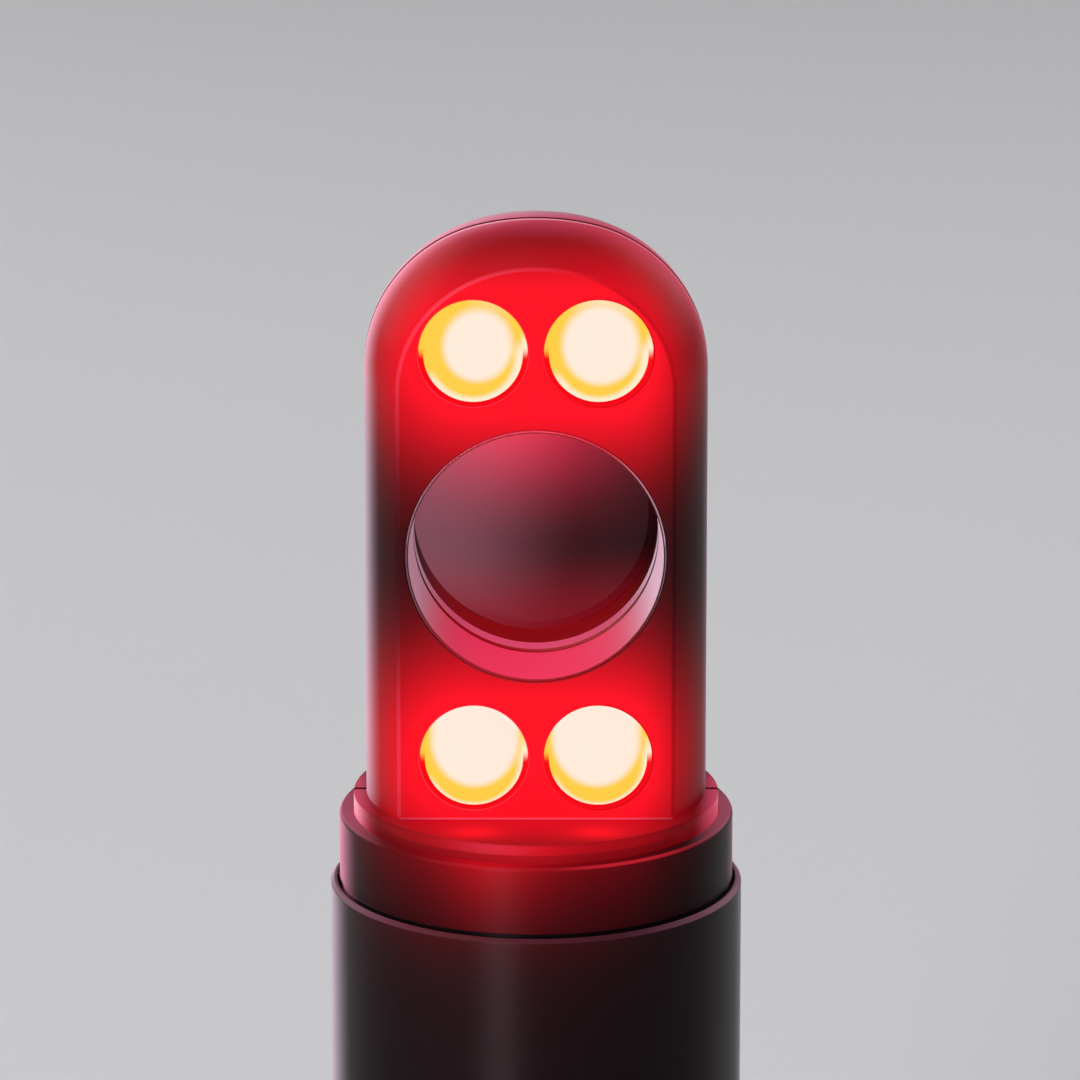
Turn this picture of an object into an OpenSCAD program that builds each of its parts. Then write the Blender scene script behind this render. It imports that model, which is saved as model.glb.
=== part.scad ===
// LED safety flare: a hand flare with a domed head that carries four lit lamps
// round a deep finger well. Z is up, the base stands on z = 0, the lamps face -Y.

/* [Body tube] */
// Outer diameter of the body
body_d = 34; // [30:0.2:38]
// Wall of the body tube
body_wall = 1.6; // [1.4:0.1:1.8]
// Width of the rim round the collar
rim_lip = 0.55; // [0.4:0.05:0.8]
// Slope cut on the rim's outer edge
rim_chamfer = 0.3; // [0.1:0.05:0.35]
// Length of the tube's flared mouth, where the body isn't as wide as its rim
mouth_len = 5; // [3:0.5:8]

/* [Base] */
// Height of the base flange below the tube
base_h = 6; // [4:0.5:9]
// Thickness of the base floor
base_floor = 3; // [2:0.25:3.5]
// How far the base plug reaches into the tube
base_plug_len = 5.8; // [4.5:0.1:8]
// Slope cut on the foot's edge
foot_chamfer = 0.8; // [0.3:0.1:1.5]

/* [Power] */
// Wall of the sleeve round the cells
sleeve_wall = 2; // [1.6:0.1:2.4]
// Length of a cell with its nub
cell_len = 50; // [44:0.5:60]
// Height of a cell's nub
nub_h = 2; // [1.5:0.1:2.5]
// Diameter of a cell's nub
nub_d = 6.6; // [5.5:0.1:7.5]
// Pressed length of the spring under the lower cell
tail_spring_h = 4.3; // [3.6:0.1:6]
// Pressed length of the spring over the upper cell
contact_spring_h = 7.2; // [6:0.1:8]
// Wire of the two battery springs
spring_wire = 0.9; // [0.7:0.05:1]
// Diameter of the tail spring's wide end, at the middle of the wire
tail_spring_d = 18.8; // [16:0.2:20]
// Diameter of the tail spring's narrow end, at the middle of the wire
tail_spring_end_d = 8.8; // [7:0.2:10]
// Diameter of the contact spring, at the middle of the wire
contact_spring_d = 6.2; // [5:0.2:8]

/* [Collar] */
// Diameter of the collar band
collar_d = 32.5; // [31.9:0.1:33.5]
// Height of the collar above the rim
collar_h = 5.9; // [5.4:0.1:8]
// Depth of the rebate in which the collar sits
collar_seat = 1.2; // [0.8:0.1:1.8]
// Step from the collar band in to its foot in the rebate
band_step = 0.2; // [0.1:0.05:0.3]
// Length of the collar's threaded part
thread_len = 10.8; // [9:0.1:12]
// Thickness of the web across the collar
web_t = 2.5; // [1.8:0.1:2.8]
// Diameter of the hole in the web
web_hole_d = 10; // [9:0.2:12]
// Rounding of the collar's top edge
collar_round = 0.35; // [0.1:0.05:0.5]
// Depth of the pocket that takes the contact board and the head
pocket_h = 2.9; // [2.7:0.1:3.4]

/* [Head] */
// Diameter of the ring flange under the head
ring_d = 30.1; // [29.4:0.1:30.4]
// Height of the ring flange above the collar
ring_h = 1.6; // [1.2:0.1:2.5]
// Diameter of the head
head_d = 28; // [27.6:0.1:28.6]
// Height of the head above its ring flange
head_h = 48.5; // [43:0.25:54]
// Radius of the dome's shoulder
shoulder_r = 12.3; // [11.5:0.1:13]
// Radius of the dome's crown
crown_r = 20; // [17:0.5:26]
// Wall of the head shells
head_wall = 1.6; // [1.4:0.05:1.7]
// Thickness of the floor inside the head
head_floor = 2; // [1.6:0.1:2.4]
// Distance of the flat face from the axis
flat_y = 8.4; // [8.1:0.05:8.6]
// Wall behind the flat face
flat_wall = 1.6; // [1.4:0.05:1.8]
// Gap along the parting line
seam = 0.12; // [0.06:0.02:0.2]
// Thickness of the tongue inside the parting line
tongue_t = 0.63; // [0.5:0.01:0.7]
// How far the tongue reaches past the parting line
tongue_len = 0.9; // [0.6:0.05:1.2]

/* [Well and button] */
// Height of the well's centre above the ring flange
well_h = 22.3; // [22:0.1:24]
// Diameter of the well in the flat face
well_d = 21.1; // [20.7:0.05:21.3]
// Wall of the tube round the well
well_wall = 0.95; // [0.8:0.05:1]
// Length of the turned bezel
bezel_len = 6.6; // [6:0.1:6.8]
// Diameter of the bezel's inner end
bezel_end_d = 20; // [19.8:0.1:20.3]
// Thickness of the clamped flanges of the bezel and the guide
flange_t = 0.8; // [0.6:0.05:1]
// Thickness of the seal between bezel and bezel ring
seal_t = 0.7; // [0.5:0.05:0.9]
// How far the seal sits back from the bore
seal_inset = 0.35; // [0.2:0.05:0.5]
// Length of the bezel ring
bezel_ring_t = 2.1; // [1.8:0.1:2.4]
// Diameter of the push button
button_d = 19.6; // [17.6:0.1:21.6]
// Depth of the button's face behind the flat face
button_depth = 13; // [12.7:0.05:13.2]
// Thickness of the button's disc
button_t = 1.4; // [1.2:0.05:1.5]
// Slope cut on the button's edge
button_chamfer = 0.6; // [0.3:0.05:0.8]
// Travel of the button
button_travel = 1; // [0.6:0.05:1]
// Width of the two stops behind the button
stop_w = 7; // [5:0.5:9]
// How far the stops reach past the guide
stop_reach = 0.5; // [0.3:0.05:0.6]
// Wall of the guide round the button
guide_wall = 0.85; // [0.7:0.05:0.9]
// Thickness of the guide's ears
ear_t = 1.6; // [1.4:0.1:1.8]

/* [Switch] */
// Width and height of the switch
switch_w = 6; // [5:0.2:7]
// Depth of the switch
switch_t = 2.4; // [2.2:0.05:2.6]
// Diameter of the switch's plunger
plunger_d = 3; // [2.4:0.1:3.2]
// How far the plunger reaches into the switch
plunger_reach = 1.1; // [0.6:0.05:1.2]
// Width of the switch board
switch_board_w = 11.4; // [10:0.2:11.4]
// Height of the switch board
switch_board_h = 13; // [12:0.2:14]
// Sideways place of the switch board's posts
switch_post_x = 3.6; // [3.4:0.1:4]
// Place of the switch board's posts above and below the button's axis
switch_post_z = 5; // [4.6:0.1:5.2]
// Diameter of the switch board's posts
switch_post_d = 2.2; // [1.8:0.1:2.4]
// Diameter of the pins on the posts
switch_pin_d = 1; // [0.8:0.1:1.2]

/* [Lamps] */
// Spacing of two lamps side by side
led_pitch = 10.1; // [9.9:0.05:10.3]
// Distance of a lamp row from the well's centre
led_row = 17; // [16.8:0.05:17.2]
// Diameter of a lamp hole
led_hole_d = 8.8; // [8.6:0.05:9]
// Diameter of a lens
lens_d = 8; // [7.6:0.05:8.1]
// Rise of a lens's dome over the flat face
lens_rise = 2.4; // [1.6:0.1:3]
// Diameter of a lens's flange
lens_flange_d = 9.4; // [9.2:0.05:9.5]
// Thickness of a lens's flange
lens_flange_t = 1.2; // [1:0.05:1.4]
// Diameter of the hollow in a lens's back
lens_hollow_d = 4.8; // [4.4:0.1:5.2]
// Width of a light chip
emitter_w = 3; // [2.4:0.1:3]
// Thickness of a light chip
emitter_t = 0.9; // [0.7:0.05:0.95]
// Width of a lamp board
led_board_w = 19.4; // [18.8:0.1:20]
// Height of a lamp board
led_board_h = 10.4; // [10:0.1:10.8]
// Place of the melted pins above and below the middle of a lamp board
stake_z = 4.1; // [3.9:0.05:4.2]
// Diameter of the melted pins' shoulders and heads
stake_d = 2; // [1.8:0.1:2.2]
// Diameter of the melted pins in the lamp boards
stake_pin_d = 1.2; // [1:0.1:1.3]
// Thickness of the melted pins' heads
stake_head_t = 0.4; // [0.3:0.05:0.6]

/* [Boards and leads] */
// Thickness of the circuit boards
board_t = 1.2; // [0.8:0.1:1.4]
// Diameter of the driver's coil
choke_d = 5.2; // [4.4:0.1:5.6]
// Height of the driver's coil
choke_h = 2.6; // [2:0.1:3]
// Diameter of the driver's capacitor
capacitor_d = 4; // [3.4:0.1:4.4]
// Height of the driver's capacitor
capacitor_h = 2.4; // [2:0.1:3]
// Sideways place of the driver's coil and capacitor
driver_x = 6.1; // [5.6:0.1:6.4]
// Width of the driver chip
chip_w = 5; // [4:0.1:5.4]
// Depth of the driver chip
chip_l = 4; // [3:0.1:4.4]
// Thickness of the driver chip
chip_t = 1.2; // [0.8:0.1:1.6]
// Diameter of the insulated leads
lead_d = 0.85; // [0.6:0.05:0.9]
// Bend of the leads, at the middle of the lead
lead_bend = 2.2; // [1.8:0.1:2.6]
// Sideways place of the leads to the upper lamps
upper_lead_x = 6.4; // [6.3:0.02:6.5]
// Distance of the leads to the upper lamps behind the axis
upper_lead_y = 8.5; // [8:0.1:8.6]
// How far under the upper lamps' middle their leads end
upper_lead_drop = 3.4; // [3:0.1:3.8]
// Place of the leads to the lower lamps, sideways and behind the axis
lower_lead_x = 3; // [2.6:0.1:3.4]
// How far over the lower lamps' middle their leads end
lower_lead_rise = 1; // [0.5:0.1:2]
// Sideways place of the leads to the switch
switch_lead_x = 2; // [1.6:0.1:2.6]
// How far under the button's axis the switch's leads end
switch_lead_drop = 4; // [3.6:0.1:4.4]

/* [Screws] */
// Sideways place of the shell screws
screw_x = 9.5; // [9.4:0.02:9.6]
// Diameter of a shell screw's shank
screw_d = 2; // [1.6:0.1:2.2]
// Diameter of a shell screw's head
screw_head_d = 3.5; // [3:0.1:3.6]
// Thickness of a shell screw's head
screw_head_t = 1.3; // [1:0.1:1.5]
// Width of the cross cut in a screw's head
cross_w = 0.44; // [0.3:0.02:0.6]
// Length of the cross cut in a screw's head
cross_l = 1.8; // [1.4:0.1:2]
// Depth of the cross cut in a screw's head
cross_depth = 0.6; // [0.4:0.05:0.7]
// Diameter of the screw bosses in the front shell
boss_d = 4; // [3.8:0.05:4.1]
// Diameter of the screw posts in the rear shell
post_d = 5; // [4.8:0.05:5.1]
// Diameter of the guide's ears
ear_d = 4.6; // [4.4:0.05:4.8]
// Thickness of a post under a screw's head
post_seat_t = 1.6; // [1.4:0.1:1.8]

/* [Seals and fits] */
// Thickness of the sealing rings
seal_d = 1; // [0.8:0.05:1.1]
// Distance of the collar's seal under the collar's seat
seal_drop = 2.2; // [1.8:0.1:2.6]
// Gap round a turning or sliding piece
run_gap = 0.2; // [0.15:0.01:0.25]
// Gap round a fixed piece
fix_gap = 0.1; // [0.06:0.01:0.12]
// Gap round the push button and the cells
button_gap = 0.3; // [0.25:0.01:0.35]

/* [Hidden] */
$fn = 72;

// Left and right, and below and above
SIDES = [-1, 1];

// How far a cut runs past the surface that it opens
over = 1;

// Radii of the body
body_r = body_d / 2;
bore_r = body_r - body_wall;
plug_r = bore_r - fix_gap;
sleeve_bore_r = plug_r - sleeve_wall;
cell_r = sleeve_bore_r - run_gap;
cell_edge = 0.8;
nub_edge = 0.4;
plug_bore_r = cell_r + button_gap;
spigot_r = bore_r - run_gap;
spigot_chamfer = 0.5;

// Collar and ring flange
collar_r = collar_d / 2;
foot_r = collar_r - band_step;
rebate_r = collar_r + run_gap;
mouth_r = rebate_r + rim_lip;
straight = abs(mouth_r - body_r) < fix_gap;
rim_r = straight ? body_r : mouth_r;
ring_r = ring_d / 2;
pocket_r = ring_r + fix_gap / 2;
bead = 0.2;
bead_t = 0.5;

// Heights from the ground up
tail_contact_t = 0.5;
cells_z = base_floor + tail_contact_t + tail_spring_h;
cells_top_z = cells_z + 2 * cell_len;
pocket_z = cells_top_z + contact_spring_h;
collar_z = pocket_z + pocket_h;
rim_z = collar_z - collar_h;
seat_z = rim_z - collar_seat;
spigot_z = seat_z - thread_len;
web_z = pocket_z - web_t;
board_top_z = pocket_z + board_t;
floor_z = board_top_z + head_floor;
bead_z = (board_top_z + collar_z - bead_t) / 2;
ring_z = collar_z + ring_h;
crown_z = ring_z + head_h;
well_z = ring_z + well_h;

// Seal grooves
groove_h = seal_d + button_gap;
seal_slack = 0.06;

// Depths in the head, from the flat face towards the back
wall_y = -flat_y + flat_wall;
bezel_y = -flat_y + bezel_len;
ring_y = bezel_y + seal_t;
guide_y = ring_y + bezel_ring_t;
button_y = -flat_y + button_depth;
guide_end_y = button_y + button_chamfer;
button_back_y = button_y + button_t;
switch_y = button_back_y + button_travel + fix_gap;
switch_board_y = switch_y + switch_t;
switch_board_back_y = switch_board_y + board_t;
post_y = guide_y + ear_t;
head_seat_y = post_y + post_seat_t;
led_board_y = wall_y + lens_flange_t;
led_board_back_y = led_board_y + board_t;
screw_tip_y = wall_y + 2.2;

// Radii in the head
head_r = head_d / 2;
floor_hole_r = head_r - head_wall - 1;
well_r = well_d / 2;
tube_r = well_r + well_wall;
clamp_r = tube_r - fix_gap;
bezel_end_r = bezel_end_d / 2;
button_r = button_d / 2;
guide_bore_r = button_r + button_gap;
guide_r = guide_bore_r + guide_wall;
guide_seat = 0.3;
stop_r = guide_r + stop_reach;
plunger_r = plunger_d / 2;
lead_r = lead_d / 2;

// Place of the shell screws above and below the well, clear of its tube and of the guide
screw_dist = max(tube_r, guide_r) + boss_d / 2 + fix_gap;
screw_dz = sqrt(pow(screw_dist, 2) - pow(screw_x, 2));

// Outline of the dome, set in by w, from height z0 up
function dome_outline(w, z0) =
    let (cx = head_r - shoulder_r,
         q = sqrt(pow(crown_r - shoulder_r, 2) - cx * cx),
         zs = crown_z - crown_r + q,
         aj = atan2(q, cx))
    concat([[0, z0], [head_r - w, z0]],
           [for (i = [0:18]) let (a = aj * i / 18)
            [cx + (shoulder_r - w) * cos(a), zs + (shoulder_r - w) * sin(a)]],
           [for (i = [1:4]) let (a = aj + (90 - aj) * i / 4)
            [(crown_r - w) * cos(a), crown_z - crown_r + (crown_r - w) * sin(a)]]);

module dome(w, z0) rotate_extrude() polygon(dome_outline(w, z0));

module rod_z(r, z0, z1, x = 0, y = 0) translate([x, y, z0]) cylinder(r = r, h = z1 - z0);

module rod_y(r, y0, y1, x = 0, z = 0) translate([x, y0, z]) rotate([-90, 0, 0]) cylinder(r = r, h = y1 - y0);

// Slab across the head from y0 to y1
module slab_y(y0, y1) translate([-body_d, y0, -over]) cube([2 * body_d, y1 - y0, crown_z + 2 * over]);

module before(y) slab_y(y - body_d, y);

module behind(y) slab_y(y, y + body_d);

// Places of the four shell screws
module at_screws() for (sx = SIDES, sz = SIDES) translate([sx * screw_x, 0, well_z + sz * screw_dz]) children();

// Places of the four posts of the switch board
module at_switch_posts() for (sx = SIDES, sz = SIDES)
    translate([sx * switch_post_x, 0, well_z + sz * switch_post_z]) children();

// Place of the lamp at side sx and row sz
module at_lamp(sx, sz) translate([sx * led_pitch / 2, 0, well_z + sz * led_row]) children();

// Ring-shaped cut for a seal at height z, in a wall of radius r
module seal_groove(r, z) translate([0, 0, z]) difference() {
    cylinder(r = r + over, h = groove_h, center = true);
    cylinder(r = r - seal_d, h = groove_h + over, center = true);
}

// Sealing ring at height z, in a wall of radius r
module seal_ring(r, z) translate([0, 0, z]) rotate_extrude()
    translate([r - seal_d / 2, 0]) circle(d = seal_d - seal_slack);

// Body tube, with the rebate for the collar
module body_tube() color("#17141a") rotate_extrude() polygon(concat(
    [[bore_r, base_h], [body_r, base_h]],
    straight ? [] : [[body_r, seat_z - 2 * mouth_len], [rim_r, seat_z - mouth_len]],
    [[rim_r, rim_z - rim_chamfer], [rim_r - rim_chamfer, rim_z], [rebate_r, rim_z], [rebate_r, seat_z],
     [bore_r, seat_z]]));

// Base plug, which closes the tube and stands on the ground
module base_plug() color("#17141a") difference() {
    rotate_extrude() polygon([
        [0, 0], [body_r - foot_chamfer, 0], [body_r, foot_chamfer], [body_r, base_h], [plug_r, base_h],
        [plug_r, base_h + base_plug_len], [plug_bore_r, base_h + base_plug_len], [plug_bore_r, base_floor],
        [0, base_floor]]);
    seal_groove(plug_r, base_h + base_plug_len / 2);
}

// Seal of the base plug
module base_seal() color("#101010") seal_ring(plug_r, base_h + base_plug_len / 2);

// Sleeve that keeps the cells central
module battery_sleeve() color("#d8d4c8") difference() {
    rod_z(plug_r, base_h + base_plug_len + run_gap, spigot_z - button_gap);
    rod_z(sleeve_bore_r, base_h, spigot_z);
}

// Contact plate under the tail spring
module tail_contact() color("#c8a040") rod_z(plug_bore_r - button_gap, base_floor, base_floor + tail_contact_t);

// Coil with closed ends, from z0 to z1, with its wire's middle at r0 below and r1 above
module coil(r0, r1, z0, z1, turns) {
    w = spring_wire / 2;
    sides = 8;
    steps = round((turns + 2) * 24);
    za = z0 + w;
    zb = z1 - w;
    lift = min(spring_wire * 1.5, (zb - za) * 0.4);
    function height(t) = t < 1 ? za + lift * t * t * t
        : t > turns + 1 ? zb - lift * pow(turns + 2 - t, 3)
        : za + lift + (zb - za - 2 * lift) * (t - 1) / turns;
    function radius(t) = r0 + (r1 - r0) * t / (turns + 2);
    pts = [for (i = [0:steps]) let (t = (turns + 2) * i / steps, a = 360 * t, r = radius(t), z = height(t))
           for (s = [0:sides - 1]) let (b = 360 * s / sides)
           [(r + w * cos(b)) * cos(a), (r + w * cos(b)) * sin(a), z + w * sin(b)]];
    faces = concat([[for (s = [0:sides - 1]) s]],
                   [for (i = [0:steps - 1], s = [0:sides - 1]) let (n = (s + 1) % sides)
                    [i * sides + s, (i + 1) * sides + s, (i + 1) * sides + n, i * sides + n]],
                   [[for (s = [sides - 1:-1:0]) steps * sides + s]]);
    gap = min([for (t = [0:0.02:turns + 1])
               norm([radius(t + 1) - radius(t), height(t + 1) - height(t)]) - spring_wire]);
    echo(coil_gap = gap);
    polyhedron(points = pts, faces = faces, convexity = 10);
}

// Spring under the lower cell
module tail_spring() color("#c9ccd0")
    coil(tail_spring_d / 2, tail_spring_end_d / 2, base_floor + tail_contact_t, cells_z, 1.5);

// One cell, standing on z
module cell(z) {
    can_z = z + cell_len - nub_h;
    top_z = z + cell_len;
    nub_r = nub_d / 2;
    rotate_extrude() polygon([
        [0, z], [cell_r - cell_edge, z], [cell_r, z + cell_edge], [cell_r, can_z - cell_edge],
        [cell_r - cell_edge, can_z], [nub_r, can_z], [nub_r, top_z - nub_edge], [nub_r - nub_edge, top_z],
        [0, top_z]]);
}

module lower_cell() color("#8a6a30") cell(cells_z);

module upper_cell() color("#8a6a30") cell(cells_z + cell_len);

// Collar, which screws into the tube and carries the head
module collar() color("#1a161c") difference() {
    rotate_extrude() polygon(concat(
        [[plug_bore_r, spigot_z], [spigot_r - spigot_chamfer, spigot_z], [spigot_r, spigot_z + spigot_chamfer],
         [spigot_r, seat_z], [foot_r, seat_z], [foot_r, rim_z + run_gap], [collar_r, rim_z + run_gap]],
        [for (a = [0:15:90])
         [collar_r - collar_round * (1 - cos(a)), collar_z - collar_round * (1 - sin(a))]],
        [[pocket_r, collar_z], [pocket_r, pocket_z], [web_hole_d / 2, pocket_z], [web_hole_d / 2, web_z],
         [plug_bore_r, web_z]]));
    seal_groove(spigot_r, seat_z - seal_drop);
    rod_z(pocket_r + bead, bead_z - fix_gap, bead_z + bead_t + fix_gap);
}

// Seal on the collar's threaded part
module collar_seal() color("#101010") seal_ring(spigot_r, seat_z - seal_drop);

// Contact board on the collar's web
module contact_board() color("#1f6b3a") rod_z(pocket_r - fix_gap, pocket_z, board_top_z);

// Spring between the contact board and the upper cell
module contact_spring() color("#c9ccd0") coil(contact_spring_d / 2, contact_spring_d / 2, cells_top_z, pocket_z,
    (contact_spring_h - 4 * spring_wire) / (spring_wire * 1.5));

// Coil, chip and capacitor on the contact board
module driver_parts() color("#2c2c30") {
    rod_z(choke_d / 2, board_top_z, board_top_z + choke_h, -driver_x, -driver_x / 4);
    translate([-chip_w / 3, -driver_x + chip_l / 3, board_top_z]) cube([chip_w, chip_l, chip_t]);
    rod_z(capacitor_d / 2, board_top_z, board_top_z + capacitor_h, driver_x, -driver_x / 6);
}

// Ring flange and dome as one block, before it's hollowed
module head_block() {
    dome(0, board_top_z);
    rod_z(ring_r, board_top_z, ring_z);
    rod_z(ring_r + bead, bead_z, bead_z + bead_t);
}

// Space inside the head, with the hole in its floor
module head_room() {
    dome(head_wall, floor_z);
    rod_z(floor_hole_r, board_top_z - over, floor_z + over);
}

// Melted pins that hold a lamp board at row sz
module stakes(sz) for (k = SIDES) translate([0, 0, well_z + sz * led_row + k * stake_z]) {
    rod_y(stake_d / 2, wall_y - flat_wall / 3, led_board_y);
    rod_y(stake_pin_d / 2, wall_y, led_board_back_y + stake_head_t / 2);
    rod_y(stake_d / 2, led_board_back_y, led_board_back_y + stake_head_t);
}

// Front shell, with the flat face, the well and the lamp holes
module front_shell() color("#161216") difference() {
    union() {
        intersection() {
            difference() {
                head_block();
                intersection() {
                    head_room();
                    behind(wall_y);
                }
            }
            before(-seam / 2);
        }
        intersection() {
            dome(0, ring_z);
            rod_y(tube_r, -flat_y, bezel_y - flange_t, 0, well_z);
        }
        at_screws() rod_y(boss_d / 2, wall_y - flat_wall / 3, guide_y);
        for (sz = SIDES) stakes(sz);
    }
    translate([-head_d, -flat_y - head_d, ring_z]) cube([2 * head_d, head_d, head_h + over]);
    rod_y(well_r, -flat_y - over, bezel_y, 0, well_z);
    for (sx = SIDES, sz = SIDES) at_lamp(sx, sz) {
        rod_y(led_hole_d / 2, -flat_y - over, wall_y + fix_gap);
        rod_y(lens_flange_d / 2 + fix_gap, wall_y, led_board_y);
    }
    at_screws() rod_y(screw_d / 2 + fix_gap / 2, screw_tip_y - 4 * fix_gap, guide_y + over);
}

// Rear shell, with the screw pockets, the switch posts and the seam's tongue
module rear_shell() color("#161216") difference() {
    union() {
        intersection() {
            difference() {
                head_block();
                head_room();
            }
            behind(seam / 2);
        }
        intersection() {
            difference() {
                dome(head_wall + fix_gap * 0.7, floor_z + button_gap);
                dome(head_wall + fix_gap * 0.7 + tongue_t, floor_z - over);
            }
            slab_y(-tongue_len, tongue_len);
        }
        intersection() {
            difference() {
                dome(head_wall / 2, floor_z + button_gap);
                dome(head_wall + fix_gap * 0.7 + tongue_t, floor_z - over);
            }
            slab_y(seam / 2 + fix_gap, tongue_len);
        }
        intersection() {
            dome(head_wall / 4, floor_z);
            union() {
                at_screws() rod_y(post_d / 2, post_y, head_r);
                at_switch_posts() rod_y(switch_post_d / 2, switch_board_back_y, head_r);
            }
        }
        at_switch_posts() rod_y(switch_pin_d / 2, switch_board_y + run_gap, switch_board_back_y + button_gap);
    }
    rod_y(guide_r + fix_gap, 0, guide_end_y + fix_gap, 0, well_z);
    at_screws() {
        rod_y(screw_head_d / 2 + run_gap, head_seat_y, head_r);
        rod_y(screw_d / 2 + fix_gap * 1.5, post_y - over, head_seat_y + over);
    }
}

// Four screws that hold the shells together
module shell_screws() color("#8c8f94") at_screws() difference() {
    union() {
        rod_y(screw_d / 2, screw_tip_y, head_seat_y + screw_head_t / 2);
        rod_y(screw_head_d / 2, head_seat_y, head_seat_y + screw_head_t);
    }
    for (a = [0, 90]) translate([0, head_seat_y + screw_head_t - cross_depth, 0]) rotate([0, a, 0])
        translate([-cross_l / 2, 0, -cross_w / 2]) cube([cross_l, cross_depth + over, cross_w]);
}

// Turned bezel that lines the well
module button_bezel() color("#b9aeb6") translate([0, 0, well_z]) rotate([-90, 0, 0]) rotate_extrude() polygon([
    [well_r - fix_gap * 2, -flat_y], [well_r - fix_gap, -flat_y], [well_r - fix_gap, bezel_y - flange_t],
    [clamp_r, bezel_y - flange_t], [clamp_r, bezel_y], [bezel_end_r, bezel_y]]);

// Flat ring in the well, from y0 to y1
module well_ring(r_in, r_out, y0, y1) difference() {
    rod_y(r_out, y0, y1, 0, well_z);
    rod_y(r_in, y0 - over, y1 + over, 0, well_z);
}

// Seal between the bezel and its ring
module well_seal() color("#101010") well_ring(bezel_end_r + seal_inset, clamp_r, bezel_y, ring_y);

// Second turned ring, behind the seal
module bezel_ring() color("#b9aeb6") well_ring(bezel_end_r, clamp_r, ring_y, guide_y);

// Arm from the guide to the ear at side sx and row sz
module guide_arm(sx, sz) {
    arm_r = guide_bore_r + guide_seat;
    translate([0, guide_y, well_z]) rotate([0, -atan2(sz * screw_dz, sx * screw_x), 0])
        translate([arm_r, 0, -ear_d / 3]) cube([screw_dist - arm_r, ear_t, ear_d * 2 / 3]);
}

// Guide in which the button slides, clamped by the shell screws
module button_guide() color("#0f0d0f") difference() {
    union() {
        rod_y(guide_r, guide_y, guide_end_y, 0, well_z);
        rod_y(clamp_r, guide_y, guide_y + flange_t, 0, well_z);
        at_screws() rod_y(ear_d / 2, guide_y, post_y);
        for (sx = SIDES, sz = SIDES) guide_arm(sx, sz);
    }
    rod_y(guide_bore_r, guide_y - over, guide_end_y + over, 0, well_z);
    at_screws() rod_y(screw_d / 2 + fix_gap * 1.5, guide_y - over, post_y + over);
}

// Push button at the bottom of the well, with a stop above and below
module push_button() color("#3a3038") {
    translate([0, 0, well_z]) rotate([-90, 0, 0]) rotate_extrude() polygon([
        [0, button_y], [button_r - button_chamfer, button_y], [button_r, button_y + button_chamfer],
        [button_r, button_back_y], [0, button_back_y]]);
    for (sz = SIDES) translate([-stop_w / 2, guide_end_y, well_z + (sz > 0 ? button_r - over : -stop_r)])
        cube([stop_w, button_back_y - guide_end_y, stop_r - button_r + over]);
}

// Plunger of the switch
module switch_plunger() color("#d9d9d9") rod_y(plunger_r, button_back_y, switch_y + plunger_reach, 0, well_z);

// Body of the switch
module switch_body() color("#26262a") difference() {
    translate([-switch_w / 2, switch_y, well_z - switch_w / 2]) cube([switch_w, switch_t, switch_w]);
    hole_end_y = switch_y + plunger_reach + button_travel + fix_gap;
    rod_y(plunger_r + button_gap, switch_y - over, hole_end_y, 0, well_z);
}

// Board that carries the switch
module switch_board() color("#1f6b3a") difference() {
    translate([-switch_board_w / 2, switch_board_y, well_z - switch_board_h / 2])
        cube([switch_board_w, board_t, switch_board_h]);
    at_switch_posts() rod_y(switch_pin_d / 2 + fix_gap, switch_board_y - over, switch_board_back_y + over);
}

// Clear lens of a lamp, at side sx and row sz
module lens(sx, sz) color("#ffe0a0") at_lamp(sx, sz) rotate([-90, 0, 0]) rotate_extrude() polygon(
    let (r = lens_d / 2, cap = (r * r + lens_rise * lens_rise) / (2 * lens_rise), a = asin(r / cap))
    concat([[lens_hollow_d / 2, led_board_y], [lens_hollow_d / 2, wall_y], [0, wall_y]],
           [for (i = [0:10]) [cap * sin(a * i / 10), -flat_y - lens_rise + cap * (1 - cos(a * i / 10))]],
           [[r, wall_y], [lens_flange_d / 2, wall_y], [lens_flange_d / 2, led_board_y]]));

// Light chip under a lens
module emitter(sx, sz) color("#f4d060") at_lamp(sx, sz)
    translate([-emitter_w / 2, led_board_y - emitter_t, -emitter_w / 2])
    cube([emitter_w, emitter_t, emitter_w]);

// Board behind a row of lamps
module led_board(sz) color("#d8d8d0") difference() {
    row_z = well_z + sz * led_row;
    intersection() {
        dome(head_wall + button_gap, floor_z + button_gap);
        translate([-led_board_w / 2, led_board_y, row_z - led_board_h / 2])
            cube([led_board_w, board_t, led_board_h]);
    }
    for (k = SIDES)
        rod_y(stake_pin_d / 2 + fix_gap, led_board_y - over, led_board_back_y + over, 0, row_z + k * stake_z);
    rod_y(clamp_r + button_gap, led_board_y - over, led_board_back_y + over, 0, well_z);
    at_screws() rod_y(boss_d / 2 + button_gap, led_board_y - over, led_board_back_y + over);
}

// Lead that rises from the contact board at x, y and bends forward to the lamp board at height z
module lead(x, y, z) {
    rod_z(lead_r, board_top_z, z - lead_bend, x, y);
    translate([x, y - lead_bend, z - lead_bend]) rotate([0, -90, 0])
        rotate_extrude(angle = 90) translate([lead_bend, 0]) circle(r = lead_r);
    rod_y(lead_r, led_board_back_y, y - lead_bend, x, z);
}

module upper_leads() color("#a01818") for (sx = SIDES)
    lead(sx * upper_lead_x, upper_lead_y, well_z + led_row - upper_lead_drop);

module lower_leads() color("#a01818") for (sx = SIDES)
    lead(sx * lower_lead_x, lower_lead_x, well_z - led_row + lower_lead_rise);

module switch_leads() color("#181818") for (sx = SIDES)
    rod_z(lead_r, board_top_z, well_z - switch_lead_drop,
          sx * switch_lead_x, switch_board_y - lead_r - fix_gap / 2);

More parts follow.
